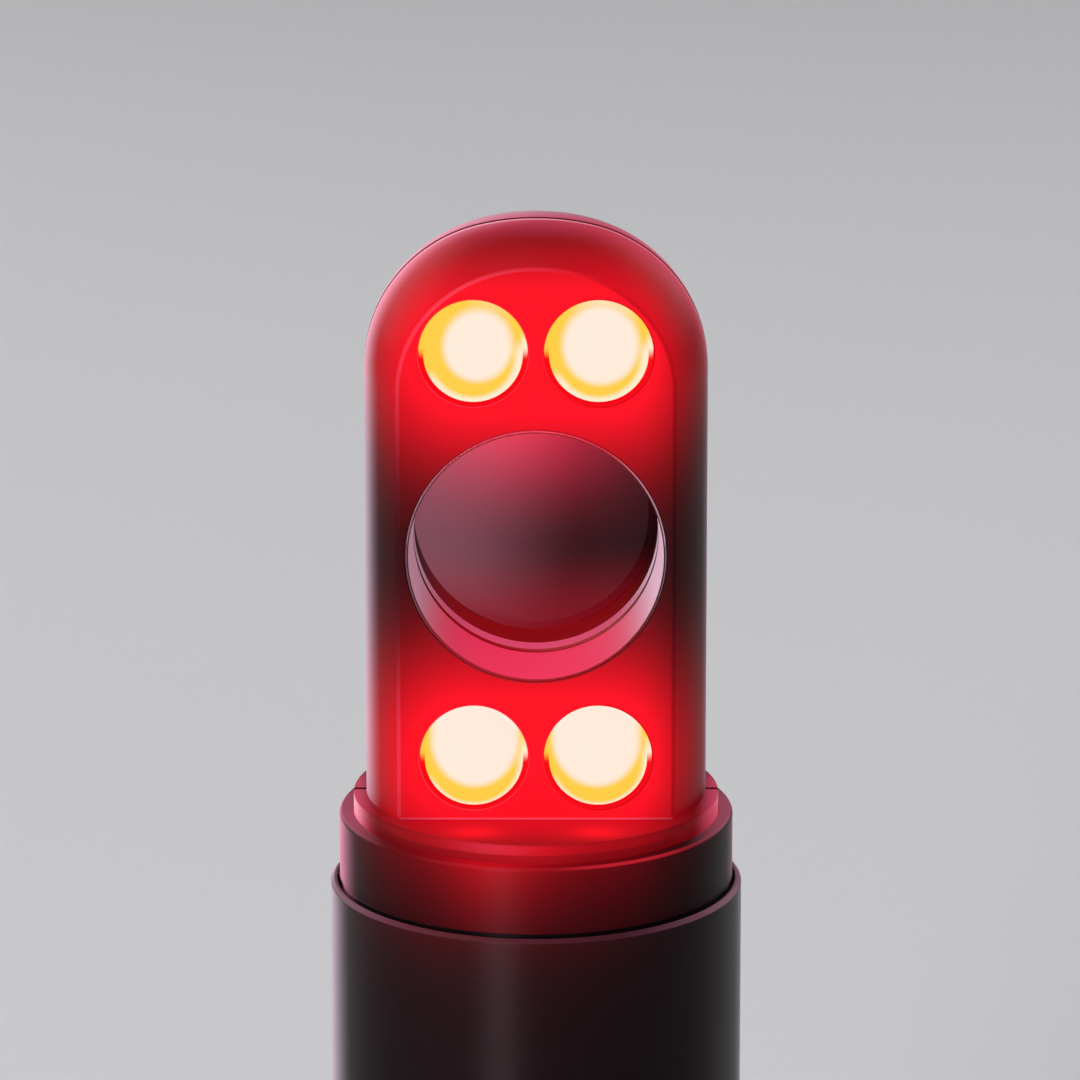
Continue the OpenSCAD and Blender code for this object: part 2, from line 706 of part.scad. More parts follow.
body_tube();
base_plug();
base_seal();
battery_sleeve();
tail_contact();
tail_spring();
lower_cell();
upper_cell();
collar();
collar_seal();
contact_board();
contact_spring();
driver_parts();
front_shell();
rear_shell();
shell_screws();
button_bezel();
well_seal();
bezel_ring();
button_guide();
push_button();
switch_plunger();
switch_body();
switch_board();
lens(-1, 1);  // lens_upper_left
lens(1, 1);  // lens_upper_right
lens(-1, -1);  // lens_lower_left
lens(1, -1);  // lens_lower_right
emitter(-1, 1);  // emitter_upper_left
emitter(1, 1);  // emitter_upper_right
emitter(-1, -1);  // emitter_lower_left
emitter(1, -1);  // emitter_lower_right
led_board(1);  // upper_led_board
led_board(-1);  // lower_led_board
upper_leads();
lower_leads();
switch_leads();
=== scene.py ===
import math

import bmesh
import bpy
from mathutils import Matrix, Vector


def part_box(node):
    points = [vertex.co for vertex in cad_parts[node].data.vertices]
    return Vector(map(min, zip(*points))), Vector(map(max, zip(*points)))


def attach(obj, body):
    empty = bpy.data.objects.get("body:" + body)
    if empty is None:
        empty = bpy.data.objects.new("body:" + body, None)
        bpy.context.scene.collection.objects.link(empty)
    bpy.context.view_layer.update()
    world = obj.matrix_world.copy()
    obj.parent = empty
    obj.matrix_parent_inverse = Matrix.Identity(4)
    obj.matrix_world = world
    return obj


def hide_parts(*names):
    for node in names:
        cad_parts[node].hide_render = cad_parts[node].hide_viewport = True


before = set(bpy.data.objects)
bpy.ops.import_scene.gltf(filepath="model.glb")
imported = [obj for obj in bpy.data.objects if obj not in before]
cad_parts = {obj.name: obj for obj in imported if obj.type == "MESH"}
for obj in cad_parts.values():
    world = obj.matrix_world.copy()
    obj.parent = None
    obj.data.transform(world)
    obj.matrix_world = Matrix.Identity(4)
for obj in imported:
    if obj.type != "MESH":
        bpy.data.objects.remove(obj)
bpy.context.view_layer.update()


# Base plug
# The closed foot of the flare: a turned aluminium plug, black anodised, pushed into the tube.
# Its flange is as wide as the tube, and a shallow line is left where the two meet.
mm = 0.001


def rounded(corners, pieces=5):
    """Points of a closed outline. A corner is (across, along, rounding), and a rounding becomes an arc."""
    points = []
    for i, (across, along, rounding) in enumerate(corners):
        corner = Vector((across, along))
        if rounding == 0:
            points.append(corner)
            continue
        back = (Vector(corners[i - 1][:2]) - corner).normalized()
        ahead = (Vector(corners[(i + 1) % len(corners)][:2]) - corner).normalized()
        half = back.angle(ahead) / 2
        centre = corner + (back + ahead).normalized() * (rounding / math.sin(half))
        first = corner + back * (rounding / math.tan(half)) - centre
        last = corner + ahead * (rounding / math.tan(half)) - centre
        start = math.atan2(first.y, first.x)
        sweep = math.remainder(math.atan2(last.y, last.x) - start, math.tau)
        for k in range(pieces + 1):
            angle = start + sweep * k / pieces
            points.append(centre + rounding * Vector((math.cos(angle), math.sin(angle))))
    return points


def arc(centre_across, centre_along, radius, start, end, pieces):
    """Points of an arc, with its angles in degrees."""
    angles = [math.radians(start + (end - start) * k / pieces) for k in range(pieces + 1)]
    centre = Vector((centre_across, centre_along))
    return [centre + radius * Vector((math.cos(a), math.sin(a))) for a in angles]


def turned(outline, steps=160, aim=Matrix(), relief=None, mesh=None):
    """Mesh of a closed outline that is turned once round the axis. Relief adds to the radius."""
    if mesh is None:
        mesh = bmesh.new()
    rings = []
    for i in range(steps):
        angle = math.tau * i / steps
        ring = []
        for across, along in outline:
            radius = across + (relief(along, angle) if relief else 0)
            place = Vector((radius * math.cos(angle), radius * math.sin(angle), along))
            ring.append(mesh.verts.new(aim @ place))
        rings.append(ring)
    for i, ring in enumerate(rings):
        after = rings[(i + 1) % steps]
        for k in range(len(ring)):
            n = (k + 1) % len(ring)
            mesh.faces.new((ring[k], after[k], after[n], ring[n]))
    return mesh


def added(name, data):
    """New object in the scene, of a mesh, a lamp or a camera."""
    made = bpy.data.objects.new(name, data)
    bpy.context.scene.collection.objects.link(made)
    return made


def shape(name, mesh):
    """Object of a closed mesh, with doubled points joined and loose edges taken out."""
    bmesh.ops.remove_doubles(mesh, verts=mesh.verts, dist=0.0005 * mm)
    bmesh.ops.delete(mesh, geom=[edge for edge in mesh.edges if edge.is_wire], context="EDGES")
    bmesh.ops.recalc_face_normals(mesh, faces=mesh.faces)
    data = bpy.data.meshes.new(name)
    mesh.to_mesh(data)
    mesh.free()
    return added(name, data)


def smooth(made):
    """Soft shading over a piece, apart from its sharp edges."""
    made.data.shade_smooth()
    made.data.set_sharp_from_angle(angle=math.radians(50))
    made.modifiers.new("even_normals", "WEIGHTED_NORMAL").keep_sharp = True


def piece(name, mesh, material, body, slot, *nodes):
    """Object of a mesh that rides on a body and stands for the named solids."""
    made = shape(name, mesh)
    made.data.materials.append(material)
    smooth(made)
    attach(made, body)
    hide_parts(*nodes)
    return made


class Signal:
    """A shader value. Sums on it become Math nodes in its material."""

    def __init__(self, tree, socket):
        self.tree = tree
        self.socket = socket

    def node(self, kind, settings=None, sockets=None, out=0):
        """New node of a kind, with its settings set before its sockets, and its output out."""
        made = self.tree.nodes.new("ShaderNode" + kind)
        for name, value in (settings or {}).items():
            setattr(made, name, value)
        for key, value in (sockets or {}).items():
            if isinstance(value, Signal):
                self.tree.links.new(value.socket, made.inputs[key])
            else:
                made.inputs[key].default_value = value
        return Signal(self.tree, made.outputs[out])

    def maths(self, operation, *others):
        return self.node("Math", {"operation": operation}, dict(enumerate((self, *others))))

    def __add__(self, other):
        return self.maths("ADD", other)

    __radd__ = __add__

    def __sub__(self, other):
        return self.maths("SUBTRACT", other)

    def __rsub__(self, other):
        return self.node("Math", {"operation": "SUBTRACT"}, {0: other, 1: self})

    def __mul__(self, other):
        return self.maths("MULTIPLY", other)

    __rmul__ = __mul__

    def __abs__(self):
        return self.maths("ABSOLUTE")

    def larger(self, other):
        return self.maths("MAXIMUM", other)

    def smaller(self, other):
        return self.maths("MINIMUM", other)

    def axis(self, number):
        """One of a place's three distances, in millimetres."""
        return self.node("SeparateXYZ", {}, {"Vector": self}, out=number) * (1 / mm)

    def scaled(self, x, y, z):
        """A place with its three distances multiplied."""
        return self.node("VectorMath", {"operation": "MULTIPLY"}, {0: self, 1: (x, y, z)})

    def noise(self, scale, detail=3.0, roughness=0.55):
        """Cloudy values round 0.5, with scale patches to the metre."""
        sockets = {"Vector": self, "Scale": scale, "Detail": detail, "Roughness": roughness}
        return self.node("TexNoise", {}, sockets)

    def eased(self, low, high):
        """0 at low, 1 at high, with a soft way between them."""
        sockets = {"Value": self, "From Min": low, "From Max": high}
        return self.node("MapRange", {"interpolation_type": "SMOOTHSTEP"}, sockets)

    def fading(self, reach):
        """1 where a squared distance is nought, falling away over a reach."""
        return (self * (-1 / reach ** 2)).maths("EXPONENT")

    def bell(self, middle, width):
        """1 at middle, falling away to both sides over a width."""
        offset = self - middle
        return (offset * offset).fading(width)

    def mixed(self, first, second):
        """Colour between first and second, where this value is the share of the second."""
        return self.node("Mix", {"data_type": "RGBA"}, {0: self, 6: first, 7: second}, out=2)

    def share_of(self, light):
        """A colour of light, dimmed to this share of it."""
        return self.mixed(black, light)

    def plus(self, other):
        """Sum of two colours."""
        return self.node("VectorMath", {"operation": "ADD"}, {0: self, 1: other})

    def into(self, shader, socket):
        self.tree.links.new(self.socket, shader.inputs[socket])


def colour(red, green, blue):
    """Colour from the 0 to 255 values that a screen shows."""
    shares = [value / 255 for value in (red, green, blue)]
    return tuple(s / 12.92 if s < 0.04045 else ((s + 0.055) / 1.055) ** 2.4 for s in shares) + (1.0,)


def finish(name, **constants):
    """New material, its shader, and the place on the surface in the part's own frame."""
    material = bpy.data.materials.new(name)
    material.use_nodes = True
    tree = material.node_tree
    shader = tree.nodes["Principled BSDF"]
    for socket, value in constants.items():
        shader.inputs[socket.replace("_", " ")].default_value = value
    place = tree.nodes.new("ShaderNodeTexCoord")
    return material, shader, Signal(tree, place.outputs["Object"])


def slant(place, number):
    """One of the three parts of the surface's normal."""
    normal = place.node("TexCoord", out="Normal")
    return normal.node("SeparateXYZ", {}, {"Vector": normal}, out=number)


def emboss(shader, height, depth):
    """Height values from 0 to 1 as a relief of the given depth."""
    height.node("Bump", {}, {"Height": height, "Distance": depth, "Strength": 1.0}).into(shader, "Normal")


lens_names = ["lens_upper_left", "lens_upper_right", "lens_lower_left", "lens_lower_right"]
lens_middles = {name: sum(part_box(name), Vector()) / 2 for name in lens_names}
lamp_x = lens_middles["lens_upper_right"].x
row_heights = [lens_middles["lens_upper_right"].z, lens_middles["lens_lower_right"].z]
face_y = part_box("button_bezel")[0].y
black = (0.0, 0.0, 0.0, 1.0)
lamp_red = colour(255, 7, 31)
glow_reach = 7.9
glow_peak = 1.55
haze_reach = 17.0
glow_haze = 0.02


def lamp_glow(place):
    """Share of the lamps' red light, painted on the surface round them, in front of the parting line."""
    across = place.axis(0)
    beside = (abs(across) - lamp_x / mm).larger(0.0)
    behind = place.axis(1) - face_y / mm
    total = 0.0
    for height in row_heights:
        above = place.axis(2) - height / mm
        distance = beside * beside + behind * behind + above * above
        total += distance.fading(glow_reach) + glow_haze * distance.fading(haze_reach)
    shown = place.axis(1).eased(6.0, -3.0) * (1 - 0.4 * across.eased(8.0, 13.5))
    return (glow_peak * total * shown).smaller(1.0)


def emitting(shader, light, *more):
    """Light given off by a surface, as one or more colours that add up: painted light on other parts, the
    lamps' own light on the lenses.
    """
    for other in more:
        light = light.plus(other)
    shader.inputs["Emission Strength"].default_value = 1.0
    light.into(shader, "Emission Color")


plum = (1.0, 0.7, 0.78, 1.0)
# Colour of the painted sheen.
lilac = (0.62, 0.46, 0.57, 1.0)


def painted_edge_sheen(place):
    """Share of a painted pale sheen where a surface turns away, wider on the left, the side of the main
    light.
    """
    turned_away = place.node("LayerWeight", {}, {"Blend": 0.5}, out="Facing")
    return (turned_away - 0.15 * place.axis(0).eased(-8.0, 8.0)).eased(0.6, 1.0)


def anodised(name, dark, pale, shine=0.12, sheen_colour=lilac):
    """Black anodised aluminium: a fine matt grain over faint turning lines, dulled a little by handling,
    with a painted pale sheen where it turns away.

    Also gives its shader, the place on its surface and the share of the lamps' red light to paint there,
    most a little left of the middle.
    """
    material, shader, place = finish(
        name, Specular_IOR_Level=shine, Specular_Tint=plum, Anisotropic=0.85, Anisotropic_Rotation=0.25)
    grain = place.noise(9000.0, 2.0)
    handling = place.noise(55.0, 4.0, 0.6)
    lines = place.scaled(40.0, 40.0, 6000.0).noise(1.0, 2.0)
    # Painted pale sheen in the base colour where the surface turns away, but not on its tops.
    sheen = painted_edge_sheen(place) * slant(place, 2).eased(0.95, 0.75)
    sheen.mixed(handling.mixed(dark, pale), sheen_colour).into(shader, "Base Color")
    (0.35 + 0.06 * handling + 0.03 * grain).into(shader, "Roughness")
    emboss(shader, 0.6 * grain + 0.4 * lines, 0.008 * mm)
    across = place.axis(0)
    spread = across.bell(-4.0, 12.2) * (1 - 0.5 * across.eased(0.0, 12.0))
    return material, shader, place, lamp_glow(place) * spread


body_dark = colour(11, 7, 9)
body_pale = colour(17, 12, 15)
base_metal = anodised("base_black", body_dark, body_pale)[0]
tube_low, tube_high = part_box("body_tube")
body_r = tube_high.x
joint_z = tube_low.z
plug_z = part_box("base_plug")[1].z
plug_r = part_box("battery_sleeve")[1].x
cup_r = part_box("lower_cell")[1].x + 0.3 * mm
cup_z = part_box("tail_contact")[0].z
foot_round = 0.35 * mm
groove_round = 0.05 * mm
plug_round = 0.2 * mm
foot_slope = 0.8 * mm
joint_round = 0.18 * mm
groove_half = 0.65 * mm
groove_depth = 1.0 * mm


def middle_z(node):
    """Height of the middle of a solid."""
    low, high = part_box(node)
    return (low.z + high.z) / 2


def seal_groove(side_r, height):
    """Corners of a seal's groove in a turned side, from its lower edge to its upper edge."""
    low = height - groove_half
    high = height + groove_half
    floor_r = side_r - groove_depth
    return [(side_r, low, groove_round), (floor_r, low, 0), (floor_r, high, 0), (side_r, high, groove_round)]


base_outline = rounded([
    (0, 0, 0), (body_r - foot_slope, 0, foot_round), (body_r, foot_slope, foot_round),
    (body_r, joint_z, joint_round), (plug_r, joint_z, 0), *seal_groove(plug_r, middle_z("base_seal")),
    (plug_r, plug_z, plug_round), (cup_r, plug_z, plug_round), (cup_r, cup_z, 0), (0, cup_z, 0)])
piece("turned_base", turned(base_outline), base_metal, "body", "base_anodised", "base_plug")


# Seals
# Rubber rings in grooves of the base plug and of the collar, and a flat rubber ring behind the bezel.
# Moulded, with the faint bloom that rubber gets.
seal_rubber, rubber_shader, rubber_place = finish("seal_black", Specular_IOR_Level=0.3)
bloom = rubber_place.noise(900.0, 4.0)
bloom.mixed(colour(18, 17, 18), colour(34, 32, 33)).into(rubber_shader, "Base Color")
(0.62 + 0.2 * bloom).into(rubber_shader, "Roughness")
emboss(rubber_shader, rubber_place.noise(16000.0, 2.0), 0.006 * mm)
seal_low, seal_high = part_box("base_seal")
seal_wire = (seal_high.z - seal_low.z) / 2


def sealing_ring(name, node, body):
    """Ring of round wire in the place of a seal's solid."""
    ring_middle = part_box(node)[1].x - seal_wire
    ring_outline = arc(ring_middle, middle_z(node), seal_wire, 0, 360, 20)[:-1]
    piece(name, turned(ring_outline, 120), seal_rubber, body, "seal_rubber", node)


sealing_ring("base_ring_seal", "base_seal", "body")
sealing_ring("collar_ring_seal", "collar_seal", "seal")


def dress(material, *nodes):
    """Gives solids that keep their shape a material of their own."""
    for node in nodes:
        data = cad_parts[node].data
        data.materials.clear()
        data.materials.append(material)


dress(seal_rubber, "well_seal")


# Body tube
# A length of drawn aluminium tube, black anodised. Its mouth is turned out to a shallow rebate,
# which the collar's foot drops into, and its rim has a chamfer. The lamps' red glow is painted on the
# tube outside the rebate, and a mauve highlight is painted on the front of the rim and its chamfer,
# most at the sides.
tube_metal, tube_shader, tube_place, tube_glow = anodised("tube_black", body_dark, body_pale)
rim_z = tube_high.z
rim_slope = 0.3 * mm
collar_low, collar_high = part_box("collar")
collar_r = collar_high.x
run_gap = 0.2 * mm
rebate_r = collar_r + run_gap
seat_z = rim_z - 1.2 * mm
bore_r = plug_r + 0.1 * mm
bore_round = 0.15 * mm
rim_side_round = 0.12 * mm
rim_top_round = 0.1 * mm
mouth_round = 0.08 * mm
tube_outline = rounded([
    (bore_r, joint_z, bore_round), (body_r, joint_z, joint_round),
    (body_r, rim_z - rim_slope, rim_side_round), (body_r - rim_slope, rim_z, rim_top_round),
    (rebate_r, rim_z, mouth_round), (rebate_r, seat_z, 0), (bore_r, seat_z, bore_round)])


def from_axis(first, second):
    """Distance from an axis, from two distances square to it."""
    return (first * first + second * second).maths("SQRT")


tube_x = tube_place.axis(0)
tube_y = tube_place.axis(1)
out_of_rebate = from_axis(tube_x, tube_y).eased(rebate_r / mm + 0.02, rebate_r / mm + 0.1)
rim_face = slant(tube_place, 2).eased(0.3, 0.6) * out_of_rebate * tube_y.eased(9.0, 2.0)
rim_painted_highlight = (rim_face * (0.2 + 0.8 * abs(tube_x).eased(6.0, 16.0))).share_of(colour(98, 58, 74))
tube_red = (tube_glow * out_of_rebate).share_of(lamp_red)
emitting(tube_shader, tube_red, rim_painted_highlight)
piece("turned_tube", turned(tube_outline, 200), tube_metal, "body", "body_anodised", "body_tube")


# Cells, sleeve and battery contacts
# Two cells stand in line in a moulded sleeve, between a brass plate with a steel spring below and
# the contact board's spring above. All are bought or stamped parts that the closed body hides.
def metal(name, dark, pale, grain_scale, rough):
    """Bare metal with fine drawn grain and cloudy wear."""
    material, shader, place = finish(name, Metallic=1.0)
    wear = place.noise(400.0, 4.0)
    grain = place.scaled(1.0, 1.0, 0.1).noise(grain_scale, 2.0)
    wear.mixed(dark, pale).into(shader, "Base Color")
    (rough + 0.12 * wear + 0.08 * grain).into(shader, "Roughness")
    emboss(shader, grain, 0.004 * mm)
    return material


def moulded(name, dark, pale, rough, grain_scale=7000.0, shine=0.4):
    """Moulded plastic with a spark-eroded grain."""
    material, shader, place = finish(name, Specular_IOR_Level=shine)
    cloud = place.noise(120.0, 4.0)
    grain = place.noise(grain_scale, 2.0)
    cloud.mixed(dark, pale).into(shader, "Base Color")
    (rough + 0.1 * cloud + 0.06 * grain).into(shader, "Roughness")
    emboss(shader, grain, 0.01 * mm)
    return material


brass = metal("contact_brass", colour(184, 148, 74), colour(214, 180, 104), 4000.0, 0.28)
spring_wire = metal("spring_steel", colour(150, 153, 158), colour(196, 198, 202), 6000.0, 0.25)
dress(brass, "tail_contact")
dress(spring_wire, "tail_spring", "contact_spring")
dress(moulded("sleeve_cream", colour(206, 200, 184), colour(220, 215, 202), 0.5), "battery_sleeve")
can_film, can_shader, can_place = finish("cell_film", Metallic=0.2, Specular_IOR_Level=0.5)
can_height = can_place.axis(2)
nub_band = 0.0
for cell in ("lower_cell", "upper_cell"):
    cell_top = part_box(cell)[1].z / mm
    under_top = can_height.eased(cell_top + 0.2, cell_top)
    nub_band += can_height.eased(cell_top - 9.0, cell_top - 8.6) * under_top
scuffs = can_place.noise(700.0, 5.0)
nub_band.mixed(colour(38, 40, 46), colour(178, 140, 74)).into(can_shader, "Base Color")
(0.3 + 0.2 * scuffs).into(can_shader, "Roughness")
emboss(can_shader, scuffs, 0.01 * mm)
dress(can_film, "lower_cell", "upper_cell")


# Collar
# A turned aluminium collar, black anodised, that screws into the tube and carries the head.
# A cut thread and a seal groove are on its spigot, and the band's top edge is rounded over.
# Rose tint of the collar's painted sheen.
rose = (0.85, 0.27, 0.42, 1.0)
collar_metal, collar_shader, collar_place, collar_glow = anodised(
    "collar_black", colour(11, 6, 8), colour(17, 9, 12), 0.06, rose)
collar_z = collar_high.z
spigot_z = collar_low.z
spigot_r = bore_r - run_gap
foot_r = collar_r - 0.2 * mm
board_low, board_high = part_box("contact_board")
pocket_z = board_low.z
pocket_r = board_high.x + 0.1 * mm
web_z = pocket_z - 2.5 * mm
web_hole_r = 5.0 * mm
collar_seal_z = middle_z("collar_seal")
thread_pitch = 1.5 * mm
thread_depth = 0.24 * mm
thread_end_z = collar_seal_z - groove_half - 0.8 * mm
thread_rows = 48
thread_start_z = spigot_z + 0.6 * mm


def thread(along, angle):
    """Cut of the thread at a height and an angle, faded out at both ends."""
    inside = min((along - thread_start_z) / thread_pitch, (thread_end_z - along) / thread_pitch, 1.0)
    turn = (along / thread_pitch - angle / math.tau) % 1.0
    return -thread_depth * max(inside, 0.0) * abs(2 * turn - 1) if along < thread_end_z else 0.0


thread_step = (thread_end_z - thread_start_z) / (thread_rows + 1)
thread_points = [(spigot_r, thread_start_z + thread_step * (k + 1), 0) for k in range(thread_rows)]
band_z = rim_z + run_gap
spigot_lead = 0.5 * mm
turned_edge = 0.1 * mm
foot_edge = 0.06 * mm
band_round = 0.38 * mm
collar_outline = rounded([
    (cup_r, spigot_z, 0), (spigot_r - spigot_lead, spigot_z, turned_edge), (spigot_r, thread_start_z, 0),
    *thread_points, *seal_groove(spigot_r, collar_seal_z),
    (spigot_r, seat_z, 0), (foot_r, seat_z, foot_edge), (foot_r, band_z, 0),
    (collar_r, band_z, turned_edge), (collar_r, collar_z, band_round), (pocket_r, collar_z, mouth_round),
    (pocket_r, pocket_z, 0), (web_hole_r, pocket_z, turned_edge), (web_hole_r, web_z, turned_edge),
    (cup_r, web_z, 0)])
collar_x = collar_place.axis(0)
# Painted light: the lamps' red glow above the gap over the tube's rim, brighter in a painted highlight streak
# a little left of the middle, a painted pink highlight along the rounded top edge at the front, and painted
# mauve light on the top at both sides.
above_gap = collar_place.axis(2).eased(band_z / mm + 0.03, band_z / mm + 0.15)
highlight_streak = 0.5 + 0.3 * collar_x.eased(-4.0, 2.0) + 0.3 * collar_x.eased(4.0, 11.0)
highlight_streak += 0.9 * collar_x.bell(-3.4, 3.5)
collar_red = (collar_glow * highlight_streak * above_gap).share_of(lamp_red)
collar_rise = slant(collar_place, 2)
in_front = collar_place.axis(1).eased(9.0, 2.0)
over_edge = collar_rise.eased(0.2, 0.5) * collar_rise.eased(0.97, 0.85) * in_front
over_edge *= 0.2 + 0.8 * collar_x.eased(0.5, 6.0)
over_edge *= collar_x.eased(-13.0, -5.0) * collar_x.eased(16.0, 9.0)
edge_highlight = over_edge.share_of(colour(165, 26, 40))
top_sides = collar_rise.eased(0.4, 0.9) * abs(collar_x).eased(12.0, 16.0) * in_front
top_painted_mauve = collar_x.eased(-3.0, 3.0).mixed(colour(148, 64, 86), colour(140, 60, 80))
emitting(collar_shader, collar_red, edge_highlight, top_sides.share_of(top_painted_mauve))
collar_mesh = turned(collar_outline, 200, relief=thread)
piece("turned_collar", collar_mesh, collar_metal, "head", "collar_anodised", "collar")


# Circuit boards and leads
# The contact board with its driver parts lies in the collar, the switch board stands behind the
# button, and two white lamp boards carry the emitters. Insulated leads run between them.
def board(name, mask_dark, mask_pale):
    """Circuit board with its glass weave and its tracks under a solder mask."""
    material, shader, place = finish(name, Specular_IOR_Level=0.5)
    weave = place.noise(2500.0, 2.0)
    tracks = place.noise(300.0, 2.0).eased(0.48, 0.54)
    tracks.mixed(mask_dark, mask_pale).into(shader, "Base Color")
    (0.3 + 0.15 * weave).into(shader, "Roughness")
    emboss(shader, 0.5 * weave + 0.5 * tracks, 0.02 * mm)
    return material


green_board = board("board_green", colour(24, 84, 48), colour(34, 110, 62))
white_board = board("board_white", colour(214, 212, 204), colour(228, 227, 220))
dress(green_board, "contact_board", "switch_board")
dress(white_board, "upper_led_board", "lower_led_board")
dress(moulded("chip_black", colour(30, 30, 33), colour(44, 44, 48), 0.45), "driver_parts", "switch_body")
dress(moulded("lead_red", colour(150, 22, 24), colour(172, 30, 30), 0.4), "upper_leads", "lower_leads")
dress(moulded("lead_black", colour(22, 22, 24), colour(32, 32, 34), 0.4), "switch_leads")
dress(moulded("plunger_white", colour(206, 206, 204), colour(222, 222, 220), 0.4), "switch_plunger")


# Front shell
# The front half of the head, moulded in black plastic with a satin grain: half a dome with a flat
# face, which has the well and four lamp holes, over half of the ring flange that sits in the collar.
# Inside, its wall thins towards the flat, to leave room for the lenses' flanges.
bezel_low, bezel_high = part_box("button_bezel")
head_r = 14.0 * mm
ring_r = 15.05 * mm
ring_z = collar_z + 1.6 * mm
crown_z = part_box("front_shell")[1].z
ring_foot_z = board_high.z
shoulder_r = 12.3 * mm
crown_r = 20.0 * mm
shell_wall = 1.6 * mm
floor_z = ring_foot_z + 2.0 * mm
seam_half = 0.06 * mm
seam_slope = 0.14 * mm
flat_y = face_y
flat_back_y = flat_y + shell_wall
shoulder_x = head_r - shoulder_r
shoulder_rise = math.sqrt((crown_r - shoulder_r) ** 2 - shoulder_x ** 2)
shoulder_z = crown_z - crown_r + shoulder_rise
shoulder_end = math.degrees(math.atan2(shoulder_rise, shoulder_x))


def dome_radius(height, inset):
    """Radius of the dome, set in by inset, at a height."""
    over = height - shoulder_z
    if over <= 0:
        return head_r - inset
    shoulder = shoulder_r - inset
    if over <= shoulder * math.sin(math.radians(shoulder_end)):
        return shoulder_x + math.sqrt(shoulder ** 2 - over ** 2)
    return math.sqrt(max((crown_r - inset) ** 2 - (height - crown_z + crown_r) ** 2, 0.0))


arch_steps = 96
side_steps = 20


def arch(y, inset, foot_z):
    """Outline of the dome, set in by inset, on the plane at y: up the right side, over and down the left."""
    side_x = math.sqrt((head_r - inset) ** 2 - y ** 2)
    right = []
    for k in range(side_steps):
        right.append(Vector((side_x, y, foot_z + (shoulder_z - foot_z) * k / side_steps)))
    top = []
    for k in range(arch_steps + 1):
        angle = math.pi * k / arch_steps
        near, far = 0.0, head_r
        for halving in range(40):
            reach = (near + far) / 2
            radius = dome_radius(shoulder_z + reach * math.sin(angle), inset)
            if math.hypot(reach * math.cos(angle), y) < radius:
                near = reach
            else:
                far = reach
        top.append(Vector((near * math.cos(angle), y, shoulder_z + near * math.sin(angle))))
    left = [Vector((-p.x, p.y, p.z)) for p in reversed(right)]
    return right + top + left


def shifted(outline, inward, y):
    """An arch outline moved inward by a small way, on the plane at y."""
    moved = []
    for p in outline:
        away = Vector((p.x, 0, max(p.z - shoulder_z, 0.0))).normalized()
        moved.append(Vector((p.x, y, p.z)) - away * inward)
    return moved


flat_inset = 0.3 * mm
flat_drop = 0.26 * mm
edge_pieces = 5
sharp_edge = arch(flat_y, 0.0, ring_z)
flat_rim = shifted(sharp_edge, flat_inset, flat_y)
dome_rim = arch(flat_y + flat_drop, 0.0, ring_z)
outer_rows = [flat_rim]
for k in range(1, edge_pieces + 1):
    t = k / edge_pieces
    weights = ((1 - t) ** 2, 2 * t * (1 - t), t ** 2)
    outer_rows.append([
        a * weights[0] + b * weights[1] + c * weights[2] for a, b, c in zip(flat_rim, sharp_edge, dome_rim)])
first_turn = math.asin((flat_y + flat_drop) / head_r)
last_turn = math.asin(-(seam_half + seam_slope) / head_r)
dome_rows = 14
for k in range(1, dome_rows + 1):
    y = head_r * math.sin(first_turn + (last_turn - first_turn) * k / dome_rows)
    outer_rows.append(arch(y, 0.0, ring_z))
outer_rows.append(arch(-seam_half, seam_slope, ring_z))
inner_rows = []
inner_turn = math.asin(flat_back_y / (head_r - shell_wall))
seam_turn = math.asin(-seam_half / (head_r - shell_wall))
inner_count = 8
lamp_wall = 0.8 * mm
for k in range(inner_count + 1):
    y = (head_r - shell_wall) * math.sin(seam_turn + (inner_turn - seam_turn) * k / inner_count)
    inset = shell_wall + (lamp_wall - shell_wall) * (k / inner_count) ** 2
    inner_rows.append(arch(y, inset, ring_foot_z))

shell_mesh = bmesh.new()


def rows_of(mesh, outlines):
    return [[mesh.verts.new(p) for p in outline] for outline in outlines]


def skin(mesh, rows):
    """Faces between rows of points, from each row to the next."""
    for first, second in zip(rows, rows[1:]):
        for k in range(len(first) - 1):
            mesh.faces.new((first[k], first[k + 1], second[k + 1], second[k]))


outer = rows_of(shell_mesh, outer_rows)
inner = rows_of(shell_mesh, inner_rows)
skin(shell_mesh, outer + inner)

# The flange's half ring goes round the foot of the dome, from seam to seam.
foot_steps = 24


def foot_points(row):
    """New points on the straight line from a row's last point to its first."""
    return [shell_mesh.verts.new(row[-1].co.lerp(row[0].co, k / foot_steps)) for k in range(1, foot_steps)]


flat_foot = foot_points(outer[0])
back_foot = foot_points(inner[-1])
foot = [row[-1] for row in reversed(outer)] + flat_foot + [row[0] for row in outer]
inner_foot = [row[-1] for row in inner] + back_foot + [row[0] for row in reversed(inner)]
ring_round = 0.16 * mm
ring_profile = rounded([
    (ring_r - 2 * ring_round, ring_z, 0), (ring_r, ring_z, ring_round), (ring_r, ring_foot_z, 0)])[1:]
ring_angles = [math.atan2(v.co.y, v.co.x) for v in foot]
ring_rows = []
for across, along in ring_profile:
    row = []
    for angle in ring_angles:
        row.append(shell_mesh.verts.new((across * math.cos(angle), across * math.sin(angle), along)))
    for end in (row[0], row[-1]):
        end.co.y = -seam_half
        end.co.x = math.copysign(math.sqrt(across ** 2 - seam_half ** 2), end.co.x)
    ring_rows.append(row)
skin(shell_mesh, [foot] + ring_rows)
lower_ring = ring_rows[-1]
for k in range(len(lower_ring) - 1):
    near = round(k * (len(inner_foot) - 1) / (len(lower_ring) - 1))
    far = round((k + 1) * (len(inner_foot) - 1) / (len(lower_ring) - 1))
    corners = [lower_ring[k], lower_ring[k + 1], inner_foot[far]]
    if near != far:
        corners.append(inner_foot[near])
    shell_mesh.faces.new(corners)
for end, seam_row, inner_row in ((0, -1, -1), (-1, 0, 0)):
    side = [outer[-1][seam_row]] + [row[end] for row in ring_rows] + [inner[0][inner_row]]
    shell_mesh.faces.new(side)

